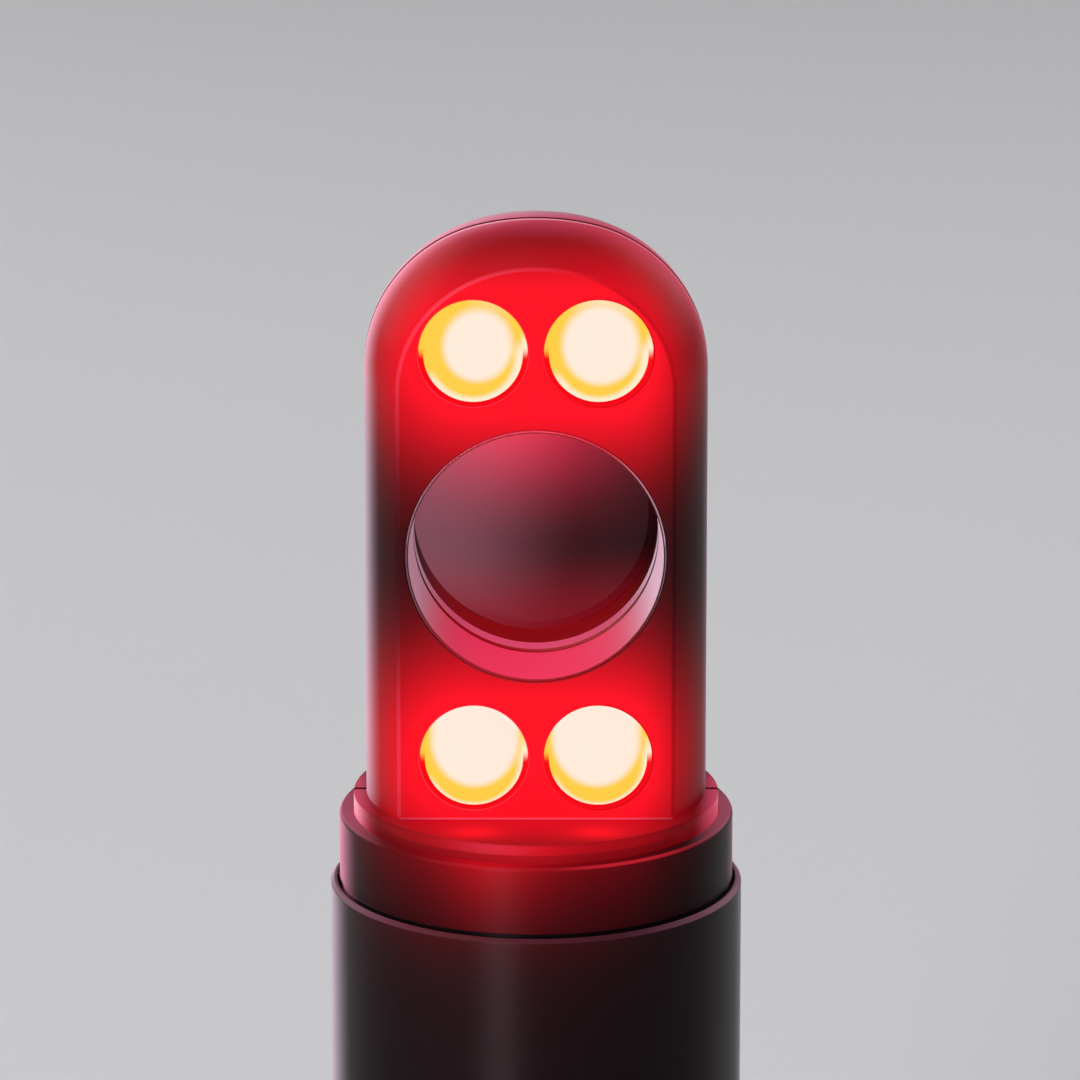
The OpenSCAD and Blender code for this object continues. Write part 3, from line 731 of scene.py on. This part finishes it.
# The well and the lamp holes have a small round on their edges. A tube goes on round the well, as far as
# the bezel's flange.
well_z = middle_z("button_bezel")
well_r = 10.55 * mm
lamp_hole_r = 4.4 * mm
hole_round = 0.14 * mm
bezel_flange_y = bezel_high.y - 0.8 * mm
tube_depth = bezel_flange_y - flat_y
tube_wall = 0.95 * mm
edge_profile = [(hole_round - hole_round * math.sin(a), hole_round - hole_round * math.cos(a))
                for a in (0.0, math.pi / 8, math.pi / 4, 3 * math.pi / 8, math.pi / 2)]
well_profile = edge_profile + [(0.0, tube_depth), (tube_wall, tube_depth), (tube_wall, shell_wall)]
lamp_profile = edge_profile + [(0.0, shell_wall)]
holes = [(0.0, well_z, well_r, 128, well_profile)]
for side in (-1, 1):
    holes += [(side * lamp_x, height, lamp_hole_r, 72, lamp_profile) for height in row_heights]
front_edges = []
back_edges = []
for centre_x, centre_z, radius, steps, profile in holes:
    rims = []
    for wider, deeper in profile:
        rim = []
        for k in range(steps):
            angle = math.tau * k / steps
            reach = radius + wider
            place = (centre_x + reach * math.cos(angle), flat_y + deeper, centre_z + reach * math.sin(angle))
            rim.append(shell_mesh.verts.new(place))
        rims.append(rim + rim[:1])
    skin(shell_mesh, rims)
    front_edges += [shell_mesh.edges.get(pair) for pair in zip(rims[0], rims[0][1:])]
    back_edges += [shell_mesh.edges.get(pair) for pair in zip(rims[-1], rims[-1][1:])]


def border(mesh, loop):
    """Edges along a closed loop of points, made where they are missing."""
    return [mesh.edges.get(pair) or mesh.edges.new(pair) for pair in zip(loop, loop[1:] + loop[:1])]


front_edges += border(shell_mesh, outer[0] + flat_foot)
back_edges += border(shell_mesh, inner[-1] + back_foot)
for edges, facing in ((front_edges, -1), (back_edges, 1)):
    bmesh.ops.triangle_fill(shell_mesh, use_beauty=True, edges=edges, normal=(0, facing, 0))

screw_low, screw_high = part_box("shell_screws")
screw_head_r = 1.75 * mm
shank_r = 1.0 * mm
screw_x = screw_high.x - screw_head_r
screw_rise = screw_high.z - screw_head_r - well_z
screw_places = [(sx * screw_x, well_z + sz * screw_rise) for sx in (-1, 1) for sz in (-1, 1)]
pocket_bore_r = screw_head_r + 0.2 * mm

# Distances and areas on the moulding, in millimetres, that its paint goes by.
shell_plastic, shell_shader, shell_place = finish("shell_black", Specular_IOR_Level=0.045, Specular_Tint=plum)
shell_cloud = shell_place.noise(90.0, 4.0)
shell_grain = shell_place.noise(6500.0, 2.0)
shell_x = shell_place.axis(0)
shell_y = shell_place.axis(1)
shell_z = shell_place.axis(2)
off_well = shell_z - well_z / mm
off_ring = shell_z - ring_z / mm
off_lamp = abs(shell_x) - lamp_x / mm
off_row = abs(shell_z - row_heights[0] / mm).smaller(abs(shell_z - row_heights[1] / mm))
off_screw = from_axis(abs(shell_x) - screw_x / mm, abs(off_well) - screw_rise / mm)
normal_y = slant(shell_place, 1)
well_edge = from_axis(shell_x, off_well).eased(well_r / mm + 0.17, well_r / mm + 0.09)
in_lamp_hole = from_axis(off_lamp, off_row).eased(lamp_hole_r / mm + 0.16, lamp_hole_r / mm + 0.08)
in_lamp_hole *= shell_y.eased(-5.0, -6.0)
out_of_pocket = off_screw.eased(pocket_bore_r / mm + 0.1, pocket_bore_r / mm + 0.3)
out_of_pocket = out_of_pocket.larger(shell_y.eased(0.5, 0.0))
painted_seam_shade = abs(shell_y).eased(0.28, 0.18)
ring_top = off_ring.eased(-0.3, -0.02) * off_ring.eased(0.1, 0.02)
ring_side = off_ring.eased(0.1, -0.1) * shell_y.eased(9.0, -3.0)
ring_wall = off_ring.eased(0.0, -0.1)
wall_low = off_ring.eased(-0.85, -1.0)
face_edge = normal_y.eased(-0.995, -0.96) * normal_y.eased(-0.66, -0.74) * off_ring.eased(0.05, 0.4)
face_foot = off_ring.eased(0.2, 0.12) * off_ring.eased(0.0, 0.04) * normal_y.eased(-0.9, -0.98)

# The plastic itself, with a painted pale sheen where it turns away, and painted black shade in the
# parting line and on the walls of the lamp holes.
emboss(shell_shader, shell_grain, 0.008 * mm)
shell_colour = shell_cloud.mixed(colour(15, 10, 12), colour(21, 15, 17))
shell_colour = (painted_edge_sheen(shell_place) * (1 - ring_top)).mixed(shell_colour, lilac)
in_lamp_hole.larger(painted_seam_shade).mixed(shell_colour, black).into(shell_shader, "Base Color")
shell_rough = 0.34 + 0.06 * shell_cloud + 0.04 * shell_grain
(shell_rough + 0.5 * in_lamp_hole + 0.45 * ring_top).into(shell_shader, "Roughness")

# Painted light on it: the lamps' red glow over the face, more on parts that face the front or the left,
# deep red on the walls of the lamp holes, painted highlights along the face's edges and foot and on the
# flange's wall, painted reflections of the lamps on the flange's top, a painted pink glow on the dome
# near the parting line, and painted mauve light at the ends of the flange. Painted shade dims it at the
# well's edge, at the face's right edge, on the flange's top and lower wall and in the parting line, and
# none of it goes into the screw pockets.
face_share = 0.3 * normal_y.eased(-0.5, -0.97).larger(ring_top)
left_share = 0.2 * slant(shell_place, 0).eased(-0.3, -0.7)
shell_light = lamp_glow(shell_place) * (1 - 0.5 * well_edge) * (0.7 + face_share + left_share).smaller(1.0)
lamp_reflection_spots = off_lamp.bell(0.0, 2.132) * shell_y.bell(-12.0, 1.491)
shell_light *= 1 - ring_top * (0.28 - 0.5 * lamp_reflection_spots)
shell_light = shell_light.larger(0.92 * in_lamp_hole) * (1 - 0.35 * face_edge * shell_x.eased(2.0, 8.0))
shell_light *= 1 - ring_wall * (0.45 - 0.9 * shell_x.bell(-1.5, 5.0))
shell_light *= 1 - 0.3 * ring_wall * wall_low
shell_light = shell_light.larger(0.15 * ring_side) * (1 - 0.6 * painted_seam_shade) * out_of_pocket
edge_light = (0.28 * face_edge * shell_x.eased(6.0, -4.0)).larger(0.5 * face_foot)
edge_light = edge_light.larger(0.22 * ring_wall * shell_x.bell(-3.8, 3.0) * (1 - wall_low))
shell_red = in_lamp_hole.mixed(lamp_red, colour(255, 2, 20))
shell_red = shell_light.share_of(edge_light.mixed(shell_red, colour(255, 92, 124)))
dome_edge = 0.7 * shell_y.eased(-5.5, 1.5) * shell_y.eased(6.5, -1.5) * (1 - painted_seam_shade) * out_of_pocket
dome_edge *= shell_z.eased(shoulder_z / mm - 4.0, shoulder_z / mm + 8.0)
dome_painted_glow = dome_edge.share_of(colour(220, 72, 104))
ring_ends = ring_top.larger(ring_wall) * abs(shell_x).eased(12.8, 15.0)
ring_ends *= shell_y.eased(8.0, 2.0) * (1 - painted_seam_shade)
ring_end_painted_light = shell_x.eased(-3.0, 3.0).mixed(colour(182, 70, 96), colour(170, 64, 88))
emitting(shell_shader, shell_red, dome_painted_glow, ring_ends.share_of(ring_end_painted_light))
front_shell = piece("front_moulding", shell_mesh, shell_plastic, "head", "front_shell_black", "front_shell")


def rod(x, z, radius, start_y, end_y, steps=48):
    """Round bar along Y."""
    mesh = bmesh.new()
    ends = []
    for y in (start_y, end_y):
        turns = [math.tau * k / steps for k in range(steps)]
        ends.append([mesh.verts.new((x + radius * math.cos(a), y, z + radius * math.sin(a))) for a in turns])
    skin(mesh, [end + end[:1] for end in ends])
    for end in ends:
        mesh.faces.new(end)
    return shape("rod", mesh)


def carve(target, changes):
    """Cuts other shapes out of a shape, or joins them to it, and removes them after that."""
    target.modifiers.clear()
    for operation, other in changes:
        change = target.modifiers.new("carve", "BOOLEAN")
        change.operation = operation
        change.solver = "EXACT"
        change.object = other
    evaluated = target.evaluated_get(bpy.context.evaluated_depsgraph_get())
    target.data = bpy.data.meshes.new_from_object(evaluated)
    target.modifiers.clear()
    for operation, other in changes:
        bpy.data.objects.remove(other)


def along_y(x, z):
    """Aim that lays a turned piece along +Y through x and z."""
    return Matrix.Translation((x, 0, z)) @ Matrix(((1, 0, 0, 0), (0, 0, 1, 0), (0, 1, 0, 0), (0, 0, 0, 1)))


# Behind the flat are a boss for each screw and the pins that hold the lamp boards.
on_button_axis = along_y(0, well_z)
in_wall_y = flat_back_y - shell_wall / 3
guide_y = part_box("bezel_ring")[1].y
led_board_low, led_board_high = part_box("upper_led_board")
boss_r = 2.0 * mm
boss_bore_r = shank_r + 0.05 * mm
bore_spare = 0.4 * mm
past_end = 1.0 * mm
pin_r = 0.6 * mm
pin_head_r = 1.0 * mm
pin_end_y = led_board_high.y + 0.4 * mm
pin_offset = 4.1 * mm
pin_outline = [
    (0, in_wall_y), (pin_head_r, in_wall_y), (pin_head_r, led_board_low.y), (pin_r, led_board_low.y),
    (pin_r, led_board_high.y), (pin_head_r, led_board_high.y), (pin_head_r, pin_end_y), (0, pin_end_y)]
front_changes = []
for x, z in screw_places:
    boss = rod(x, z, boss_r, in_wall_y, guide_y)
    carve(boss, [("DIFFERENCE", rod(x, z, boss_bore_r, screw_low.y - bore_spare, guide_y + past_end))])
    front_changes.append(("UNION", boss))
for height in row_heights:
    for side in (-1, 1):
        pin_aim = along_y(0, height + side * pin_offset)
        front_changes.append(("UNION", shape("pin", turned(pin_outline, 32, pin_aim))))
carve(front_shell, front_changes)
smooth(front_shell)


# Rear shell
# The back half of the head, moulded in the same black plastic, with its half of the ring flange.
# Four deep pockets take the screws that pull the two shells together on the button's guide.
rear_mesh = bmesh.new()
rear_columns = 72
wall_rows = 12
seam_reach = seam_half + seam_slope
rear_outer = ring_profile[::-1]
rear_outer += [Vector((head_r, ring_z + (shoulder_z - ring_z) * k / wall_rows)) for k in range(wall_rows)]
rear_outer += arc(shoulder_x, shoulder_z, shoulder_r, 0, shoulder_end, 28)
apex_turn = math.degrees(math.acos(seam_reach / crown_r))
rear_outer += arc(0, crown_z - crown_r, crown_r, shoulder_end, apex_turn, 10)[1:]
inner_crown = crown_r - shell_wall
inner_apex = math.degrees(math.acos(seam_reach / inner_crown))
rear_inner = arc(0, crown_z - crown_r, inner_crown, inner_apex, shoulder_end, 6)
rear_inner += arc(shoulder_x, shoulder_z, shoulder_r - shell_wall, shoulder_end, 0, 14)[1:]
rear_floor_r = head_r - shell_wall - 1.0 * mm
rear_inner += [Vector((head_r - shell_wall, floor_z)), Vector((rear_floor_r, floor_z))]
rear_inner += [Vector((rear_floor_r, ring_foot_z))]
rear_columns_made = []
for j in range(rear_columns + 3):
    column = []
    for across, along in rear_inner + rear_outer:
        if j in (0, rear_columns + 2):
            across -= seam_slope
            turn = math.asin(min(seam_half / across, 1.0))
            turn = turn if j == 0 else math.pi - turn
        else:
            start = math.asin(min(seam_reach / across, 1.0))
            turn = start + (math.pi - 2 * start) * (j - 1) / rear_columns
        column.append(rear_mesh.verts.new((across * math.cos(turn), across * math.sin(turn), along)))
    rear_columns_made.append(column)
skin(rear_mesh, rear_columns_made)
for column in (rear_columns_made[0], rear_columns_made[-1]):
    rear_mesh.faces.new(column)

screw_head_t = 1.3 * mm
pocket_seat_y = screw_high.y - screw_head_t
post_y = pocket_seat_y - 1.6 * mm
post_r = 2.5 * mm
shank_bore_r = 1.15 * mm
# The same material as the front shell, with its painted light and painted shade.
rear_plastic = shell_plastic.copy()
rear_plastic.name = "rear_shell_black"
rear_shell = piece("rear_moulding", rear_mesh, rear_plastic, "head", "rear_shell_black", "rear_shell")

# A tongue inside the parting line overlaps the front shell, so that nothing shows through the line.
guide_bore_r = 10.1 * mm
guide_r = guide_bore_r + 0.85 * mm
guide_room = 0.1 * mm
tongue_len = 0.9 * mm
tongue_start = shell_wall + 0.07 * mm
tongue_end = tongue_start + 0.63 * mm
tongue_root = 0.35 * mm
tongue_root_y = -seam_half + 0.01 * mm
tongue_foot_z = floor_z + 0.3 * mm
tongue_corners = [
    (-tongue_len, tongue_start), (tongue_root_y, tongue_start), (tongue_root_y, tongue_root),
    (tongue_len, tongue_root), (tongue_len, tongue_end), (-tongue_len, tongue_end)]
tongue_mesh = bmesh.new()
tongue_rows = rows_of(tongue_mesh, [arch(y, inset, tongue_foot_z) for y, inset in tongue_corners])
skin(tongue_mesh, tongue_rows + tongue_rows[:1])
for end in (0, -1):
    tongue_mesh.faces.new([row[end] for row in tongue_rows])
rear_cuts = [("UNION", shape("tongue", tongue_mesh))]
post_inset = shell_wall / 4
posts = [rod(x, z, post_r, post_y, head_r) for x, z in screw_places]
switch_board_low, switch_board_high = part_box("switch_board")
switch_pin_r = 0.5 * mm
switch_post_r = 1.1 * mm
switch_post_x = 3.6 * mm
switch_post_rise = 5.0 * mm
switch_post_outline = [
    (0, switch_board_low.y), (switch_pin_r, switch_board_low.y), (switch_pin_r, switch_board_high.y),
    (switch_post_r, switch_board_high.y), (switch_post_r, head_r), (0, head_r)]
for x in (-switch_post_x, switch_post_x):
    for z in (well_z - switch_post_rise, well_z + switch_post_rise):
        posts.append(shape("post", turned(switch_post_outline, 32, along_y(x, z))))
core_outline = [Vector((0, floor_z)), Vector((head_r - post_inset, floor_z))]
core_outline += arc(shoulder_x, shoulder_z, shoulder_r - post_inset, 0, shoulder_end, 14)
core_outline += arc(0, crown_z - crown_r, crown_r - post_inset, shoulder_end, 90, 6)[1:]
for post in posts:
    carve(post, [("INTERSECT", shape("core", turned(core_outline, 96)))])
    rear_cuts.append(("UNION", post))
for x, z in screw_places:
    rear_cuts.append(("DIFFERENCE", rod(x, z, pocket_bore_r, pocket_seat_y, head_r)))
    rear_cuts.append(("DIFFERENCE", rod(x, z, shank_bore_r, post_y - past_end, pocket_seat_y + past_end)))
guide_end_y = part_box("button_guide")[1].y + guide_room
rear_cuts.append(("DIFFERENCE", rod(0.0, well_z, guide_r + guide_room, 0.0, guide_end_y, 96)))
carve(rear_shell, rear_cuts)
smooth(rear_shell)


# Shell screws
# Four small pan-head screws of zinc-plated steel with a cross recess, driven in from the back.
# Each goes through an ear of the button's guide and bites into a boss of the front shell.
screw_steel = metal("screw_zinc", colour(150, 152, 156), colour(190, 192, 196), 5000.0, 0.3)
recess_w = 0.44 * mm
recess_l = 1.8 * mm
recess_depth = 0.6 * mm
tip_round = 0.3 * mm
pan_edge = 0.1 * mm
pan_round = 0.55 * mm
screw_outline = rounded([
    (0, screw_low.y, 0), (shank_r, screw_low.y, tip_round), (shank_r, pocket_seat_y, 0),
    (screw_head_r, pocket_seat_y, pan_edge), (screw_head_r, screw_high.y, pan_round), (0, screw_high.y, 0)])
screws_mesh = bmesh.new()
for x, z in screw_places:
    turned(screw_outline, 48, along_y(x, z), mesh=screws_mesh)
screws = piece("shell_screw_set", screws_mesh, screw_steel, "head", "screw_steel", "shell_screws")


def add_block(mesh, low, high):
    """Adds a square block between two corners."""
    size = [end - start for start, end in zip(low, high)]
    middle = [(start + end) / 2 for start, end in zip(low, high)]
    bmesh.ops.create_cube(mesh, size=1.0, matrix=Matrix.Translation(middle) @ Matrix.Diagonal((*size, 1.0)))


recess_cuts = []
for x, z in screw_places:
    for half_x, half_z in ((recess_l / 2, recess_w / 2), (recess_w / 2, recess_l / 2)):
        low = (x - half_x, screw_high.y - recess_depth, z - half_z)
        high = (x + half_x, screw_high.y + recess_depth, z + half_z)
        slot_mesh = bmesh.new()
        add_block(slot_mesh, low, high)
        recess_cuts.append(("DIFFERENCE", shape("slot", slot_mesh)))
carve(screws, recess_cuts)
smooth(screws)


# Bezel and bezel ring
# Two turned aluminium rings, left bright with a satin bead-blasted finish, that line the well.
# The long bezel tapers inwards. A dark line of painted shade is put where it meets the second ring and
# along its front edge. A darker base and the lamps' red glow are painted low in the well, and pale
# light is painted on its sides.
ring_low, ring_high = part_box("bezel_ring")
bezel_metal, bezel_shader, bezel_place = finish("bezel_satin", Metallic=0.3, Specular_IOR_Level=0.5)
bezel_blast = bezel_place.noise(8000.0, 2.0)
bezel_cloud = bezel_place.noise(160.0, 3.0)
bezel_y = bezel_place.axis(1)
bezel_x = bezel_place.axis(0)
bezel_rise = bezel_place.axis(2) - well_z / mm
# Painted shade: a dark line where the bezel meets the second ring, and another along the bezel's front edge.
seal_gap_shade = bezel_y.eased(bezel_high.y / mm - 0.18, bezel_high.y / mm - 0.1)
seal_gap_shade *= bezel_y.eased(ring_low.y / mm + 0.16, ring_low.y / mm + 0.08)
front_edge_shade = bezel_y.eased(bezel_low.y / mm + 0.12, bezel_low.y / mm + 0.07)
painted_gap_shade = seal_gap_shade.larger(front_edge_shade)
satin = bezel_cloud.mixed(colour(184, 160, 174), colour(200, 178, 190))
# The lower part of the well has its base painted darker, with a painted red glow over it.
low_painted_light = bezel_rise.eased(-2.5, -10.5)
satin = low_painted_light.mixed(satin, colour(112, 62, 78))
painted_gap_shade.mixed(satin, colour(14, 8, 10)).into(bezel_shader, "Base Color")
(0.38 + 0.08 * bezel_blast + 0.06 * bezel_cloud).into(bezel_shader, "Roughness")
emboss(bezel_shader, bezel_blast, 0.006 * mm)
# Painted light: the lamps' red glow, pink on the rings and dark red in the painted shade lines, with pale
# light painted on the sides.
bezel_light = lamp_glow(bezel_place).larger(0.75 * low_painted_light) * (1 - 0.5 * painted_gap_shade)
side_light = abs(bezel_x).eased(5.0, 10.3) * bezel_rise.eased(-9.0, -3.0) * (1 - painted_gap_shade)
side_light *= 0.5 + 0.5 * bezel_x.eased(-2.0, 2.0)
on_ring = bezel_y.eased(ring_low.y / mm, ring_low.y / mm + 0.1)
bezel_pink = on_ring.mixed(colour(255, 44, 88), colour(232, 74, 112))
bezel_red = bezel_light.share_of(painted_gap_shade.mixed(bezel_pink, colour(235, 2, 18)))
painted_side_light = side_light.share_of(colour(165, 140, 156))
emitting(bezel_shader, bezel_red, painted_side_light)
clamp_r = bezel_high.x
bezel_front_r = well_r - 0.2 * mm
bezel_outer_r = well_r - 0.1 * mm
bezel_end_r = 10.0 * mm
clamp_round = 0.05 * mm
bezel_end_round = 0.06 * mm
lip_round = 0.03 * mm
ring_edge = 0.12 * mm
bezel_outline = rounded([
    (bezel_front_r, bezel_low.y, lip_round), (bezel_outer_r, bezel_low.y, lip_round),
    (bezel_outer_r, bezel_flange_y, 0), (clamp_r, bezel_flange_y, clamp_round),
    (clamp_r, bezel_high.y, clamp_round), (bezel_end_r, bezel_high.y, bezel_end_round)])
bezel_mesh = turned(bezel_outline, 160, on_button_axis)
piece("turned_bezel", bezel_mesh, bezel_metal, "head", "bezel_metal", "button_bezel")
ring_outline = rounded([
    (bezel_end_r, ring_low.y, ring_edge), (clamp_r, ring_low.y, clamp_round),
    (clamp_r, ring_high.y, clamp_round), (bezel_end_r, ring_high.y, ring_edge)])
ring_mesh = turned(ring_outline, 160, on_button_axis)
piece("turned_well_ring", ring_mesh, bezel_metal, "head", "bezel_metal", "bezel_ring")


# Button guide
# A black plastic ring behind the bezel ring, with four ears that the shell screws clamp.
# The button slides in its bore, which shows as the dark step round the button.
guide_plastic, guide_shader, guide_place = finish("guide_black", Specular_IOR_Level=0.3)
guide_grain = guide_place.noise(7000.0, 2.0)
guide_grain.mixed(colour(20, 11, 13), colour(27, 16, 18)).into(guide_shader, "Base Color")
(0.42 + 0.1 * guide_grain).into(guide_shader, "Roughness")
emboss(guide_shader, guide_grain, 0.01 * mm)
# Painted light: the lamps' red glow low in the bore, over a faint red all round.
guide_rise = guide_place.axis(2) - well_z / mm
guide_light = 0.2 * guide_rise.eased(-3.0, -10.0) + 0.012
emitting(guide_shader, guide_light.share_of(colour(255, 10, 26)))
dress(guide_plastic, "button_guide")


# Push button
# A turned disc with a satin face and a chamfered edge, which slides in the guide and presses the switch.
# Two stops behind it catch on the guide.
button_satin, button_shader, button_place = finish(
    "button_satin", Specular_IOR_Level=0.12, Specular_Tint=plum)
button_blast = button_place.noise(8000.0, 2.0)
button_cloud = button_place.noise(120.0, 3.0)
button_cloud.mixed(colour(25, 11, 15), colour(32, 16, 20)).into(button_shader, "Base Color")
(0.36 + 0.08 * button_cloud + 0.06 * button_blast).into(button_shader, "Roughness")
emboss(button_shader, button_blast, 0.006 * mm)
# Painted light on the face: the lamps' red glow near the top, a painted mauve light from the left, and a dark
# red glow low down.
button_x = button_place.axis(0)
button_rise = button_place.axis(2) - well_z / mm
top_light = button_x.bell(-2.0, 8.452) * button_rise.bell(10.0, 6.742)
left_light = button_x.eased(4.0, -10.0) * button_rise.eased(-13.0, -3.0)
low_light = button_rise.eased(-2.0, -10.0)
button_red = top_light.share_of(colour(240, 46, 78))
button_mauve = left_light.share_of(colour(122, 76, 90))
button_low_red = low_light.share_of(colour(124, 8, 22))
emitting(button_shader, button_red, button_mauve, button_low_red)
button_low, button_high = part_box("push_button")
button_r = guide_bore_r - 0.02 * mm
button_edge = 0.8 * mm
button_slope = 0.6 * mm
face_round = 0.12 * mm
rim_round = 0.1 * mm
stop_half = 3.5 * mm
stop_root = 1.0 * mm
stop_y = button_low.y + button_slope
stop_reach = button_high.z - well_z
button_outline = rounded([
    (0, button_low.y, 0), (button_r - button_edge, button_low.y, face_round),
    (button_r, stop_y, rim_round), (button_r, button_high.y, rim_round), (0, button_high.y, 0)])
button_mesh = turned(button_outline, 160, on_button_axis)
for start_z, end_z in ((button_r - stop_root, stop_reach), (-stop_reach, stop_root - button_r)):
    low = (-stop_half, stop_y, well_z + start_z)
    add_block(button_mesh, low, (stop_half, button_high.y, well_z + end_z))
piece("button_cap", button_mesh, button_satin, "button", "button_satin", "push_button")


# Lamps
# Four clear domed lenses stand out of the flat face, each over a yellow light chip. Lit, a lens shows
# a cream core that sits a little high, a yellow ring round it, and a pale rim along its lower edge.
lens_glass, lens_shader, lens_place = finish("lens_lit", Roughness=0.45, Specular_IOR_Level=0.04)
lens_x = lens_place.axis(0)
lens_z = lens_place.axis(2) - well_z / mm
lamp_rise = (row_heights[0] - well_z) / mm
from_x = lens_x - lens_x.maths("SIGN") * (lamp_x / mm)
from_z = lens_z - lens_z.maths("SIGN") * lamp_rise
lower_row = lens_z.eased(2.0, -2.0)
right_side = lens_x.eased(-1.0, 1.0)
core = from_axis(from_x - 0.4 + 0.3 * lower_row + 0.25 * right_side, from_z - 1.0 - 0.8 * lower_row)
core -= 0.8 * lower_row + 0.3 * right_side * (1 - lower_row)
whole = from_axis(from_x, from_z)
cream = colour(255, 233, 217)
yellow = colour(255, 204, 70)
pale_rim = colour(255, 236, 206)
lens_core = core.eased(2.3, 3.2).mixed(cream, yellow)
lower_rim = (whole - 0.3 * lower_row).eased(3.0, 3.75) * (from_z - 0.35 * from_x).eased(0.3, -1.4)
lens_light = lower_rim.mixed(lens_core, pale_rim)
# Painted shade: on the lower half of each lens's flange, down in its hole, the cream light is painted deep
# red.
flange_depth = lens_place.axis(1).eased(flat_back_y / mm - 0.25, flat_back_y / mm - 0.1)
lens_light = (flange_depth * from_z.eased(0.2, -0.9)).mixed(lens_light, colour(255, 2, 20))
emitting(lens_shader, lens_light)
lens_place.noise(900.0).mixed(colour(40, 28, 12), colour(60, 44, 20)).into(lens_shader, "Base Color")
lens_low, lens_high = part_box("lens_upper_left")
lens_r = 4.0 * mm
lens_rise = flat_y - lens_low.y
lens_cap_r = (lens_r ** 2 + lens_rise ** 2) / (2 * lens_rise)
lens_cap_turn = math.degrees(math.asin(lens_r / lens_cap_r))
lens_flange_r = (lens_high.x - lens_low.x) / 2
lens_hollow_r = 2.4 * mm
flange_round = 0.1 * mm
lens_dome = [
    (p.x, p.y, 0) for p in arc(0, lens_low.y + lens_cap_r, lens_cap_r, -90, -90 + lens_cap_turn, 20)]
lens_outline = rounded(lens_dome + [
    (lens_r, flat_back_y, 0), (lens_flange_r, flat_back_y, flange_round),
    (lens_flange_r, lens_high.y, flange_round), (lens_hollow_r, lens_high.y, 0),
    (lens_hollow_r, flat_back_y, 0), (0, flat_back_y, 0)])
for name, middle in lens_middles.items():
    lens_mesh = turned(lens_outline, 72, along_y(middle.x, middle.z))
    piece(name.replace("lens", "domed_lens"), lens_mesh, lens_glass, "head", "lens_lit", name)
chip_light, chip_shader, chip_place = finish("emitter_lit", Roughness=0.4, Emission_Strength=1.0)
chip_grain = chip_place.noise(1500.0)
chip_grain.mixed(colour(250, 214, 96), colour(255, 232, 150)).into(chip_shader, "Base Color")
chip_grain.mixed(colour(250, 204, 84), colour(255, 228, 150)).into(chip_shader, "Emission Color")
dress(chip_light, *[name.replace("lens", "emitter") for name in lens_names])


# Floor, light and camera
# A plain pale floor, and five soft boxes: one low in front, the main one at the front left, one behind
# each side for its edge, and one overhead. The camera has the photograph's viewing angle.
floor_mesh = bpy.data.meshes.new("floor")
floor_half = 6.0
floor_corners = [(-floor_half, -floor_half, 0), (floor_half, -floor_half, 0),
                 (floor_half, floor_half, 0), (-floor_half, floor_half, 0)]
floor_mesh.from_pydata(floor_corners, [], [(0, 1, 2, 3)])
floor = added("floor", floor_mesh)
floor_paint, floor_shader, floor_place = finish("floor_pale", Specular_IOR_Level=0.2)
floor_cloud = floor_place.noise(3.0, 3.0)
floor_cloud.mixed((0.72, 0.72, 0.73, 1.0), (0.75, 0.75, 0.76, 1.0)).into(floor_shader, "Base Color")
(0.7 + 0.1 * floor_cloud).into(floor_shader, "Roughness")
floor_mesh.materials.append(floor_paint)

world = bpy.data.worlds.new("studio")
world.use_nodes = True
world.node_tree.nodes["Background"].inputs["Color"].default_value = (0.22, 0.22, 0.23, 1.0)
bpy.context.scene.world = world


def aimed(made, place, aim):
    """Puts a lamp or a camera at a place and turns it towards a point."""
    made.location = place
    made.rotation_mode = "QUATERNION"
    made.rotation_quaternion = (Vector(aim) - Vector(place)).to_track_quat("-Z", "Y")


def soft_box(name, place, aim, size, power, spread=180.0):
    """Flat lamp of a size in metres, a power in watts and a spread in degrees, aimed at a point."""
    data = bpy.data.lights.new(name, "AREA")
    data.shape = "RECTANGLE"
    data.size, data.size_y = size
    data.energy = power
    data.spread = math.radians(spread)
    aimed(added(name, data), place, aim)


head_middle = (0.0, 0.0, well_z)
soft_box("front_box", (-0.40, -1.10, 0.40), head_middle, (0.32, 0.45), 0.95, 50.0)
soft_box("main_box", (-0.75, -0.45, 0.85), head_middle, (0.5, 0.5), 3.0)
soft_box("left_edge_box", (-0.70, 0.70, 0.50), head_middle, (0.8, 0.7), 3.2)
soft_box("right_edge_box", (0.70, 0.70, 0.50), head_middle, (0.7, 0.6), 1.8)
soft_box("top_box", (-0.15, 0.10, 1.1), head_middle, (0.4, 0.4), 1.5)

camera_aim = Vector((0.33 * mm, 0, 140.84 * mm))
camera_distance = 655.4 * mm
camera_rise = math.radians(16.0)
camera_view = math.radians(7.72)
camera_data = bpy.data.cameras.new("camera")
camera_data.sensor_width = 36.0
camera_data.lens = camera_data.sensor_width / (2 * math.tan(camera_view / 2))
camera = added("camera", camera_data)
camera_away = Vector((0, -math.cos(camera_rise), math.sin(camera_rise)))
aimed(camera, camera_aim + camera_away * camera_distance, camera_aim)
bpy.context.scene.camera = camera
bpy.context.scene.view_settings.view_transform = "Standard"
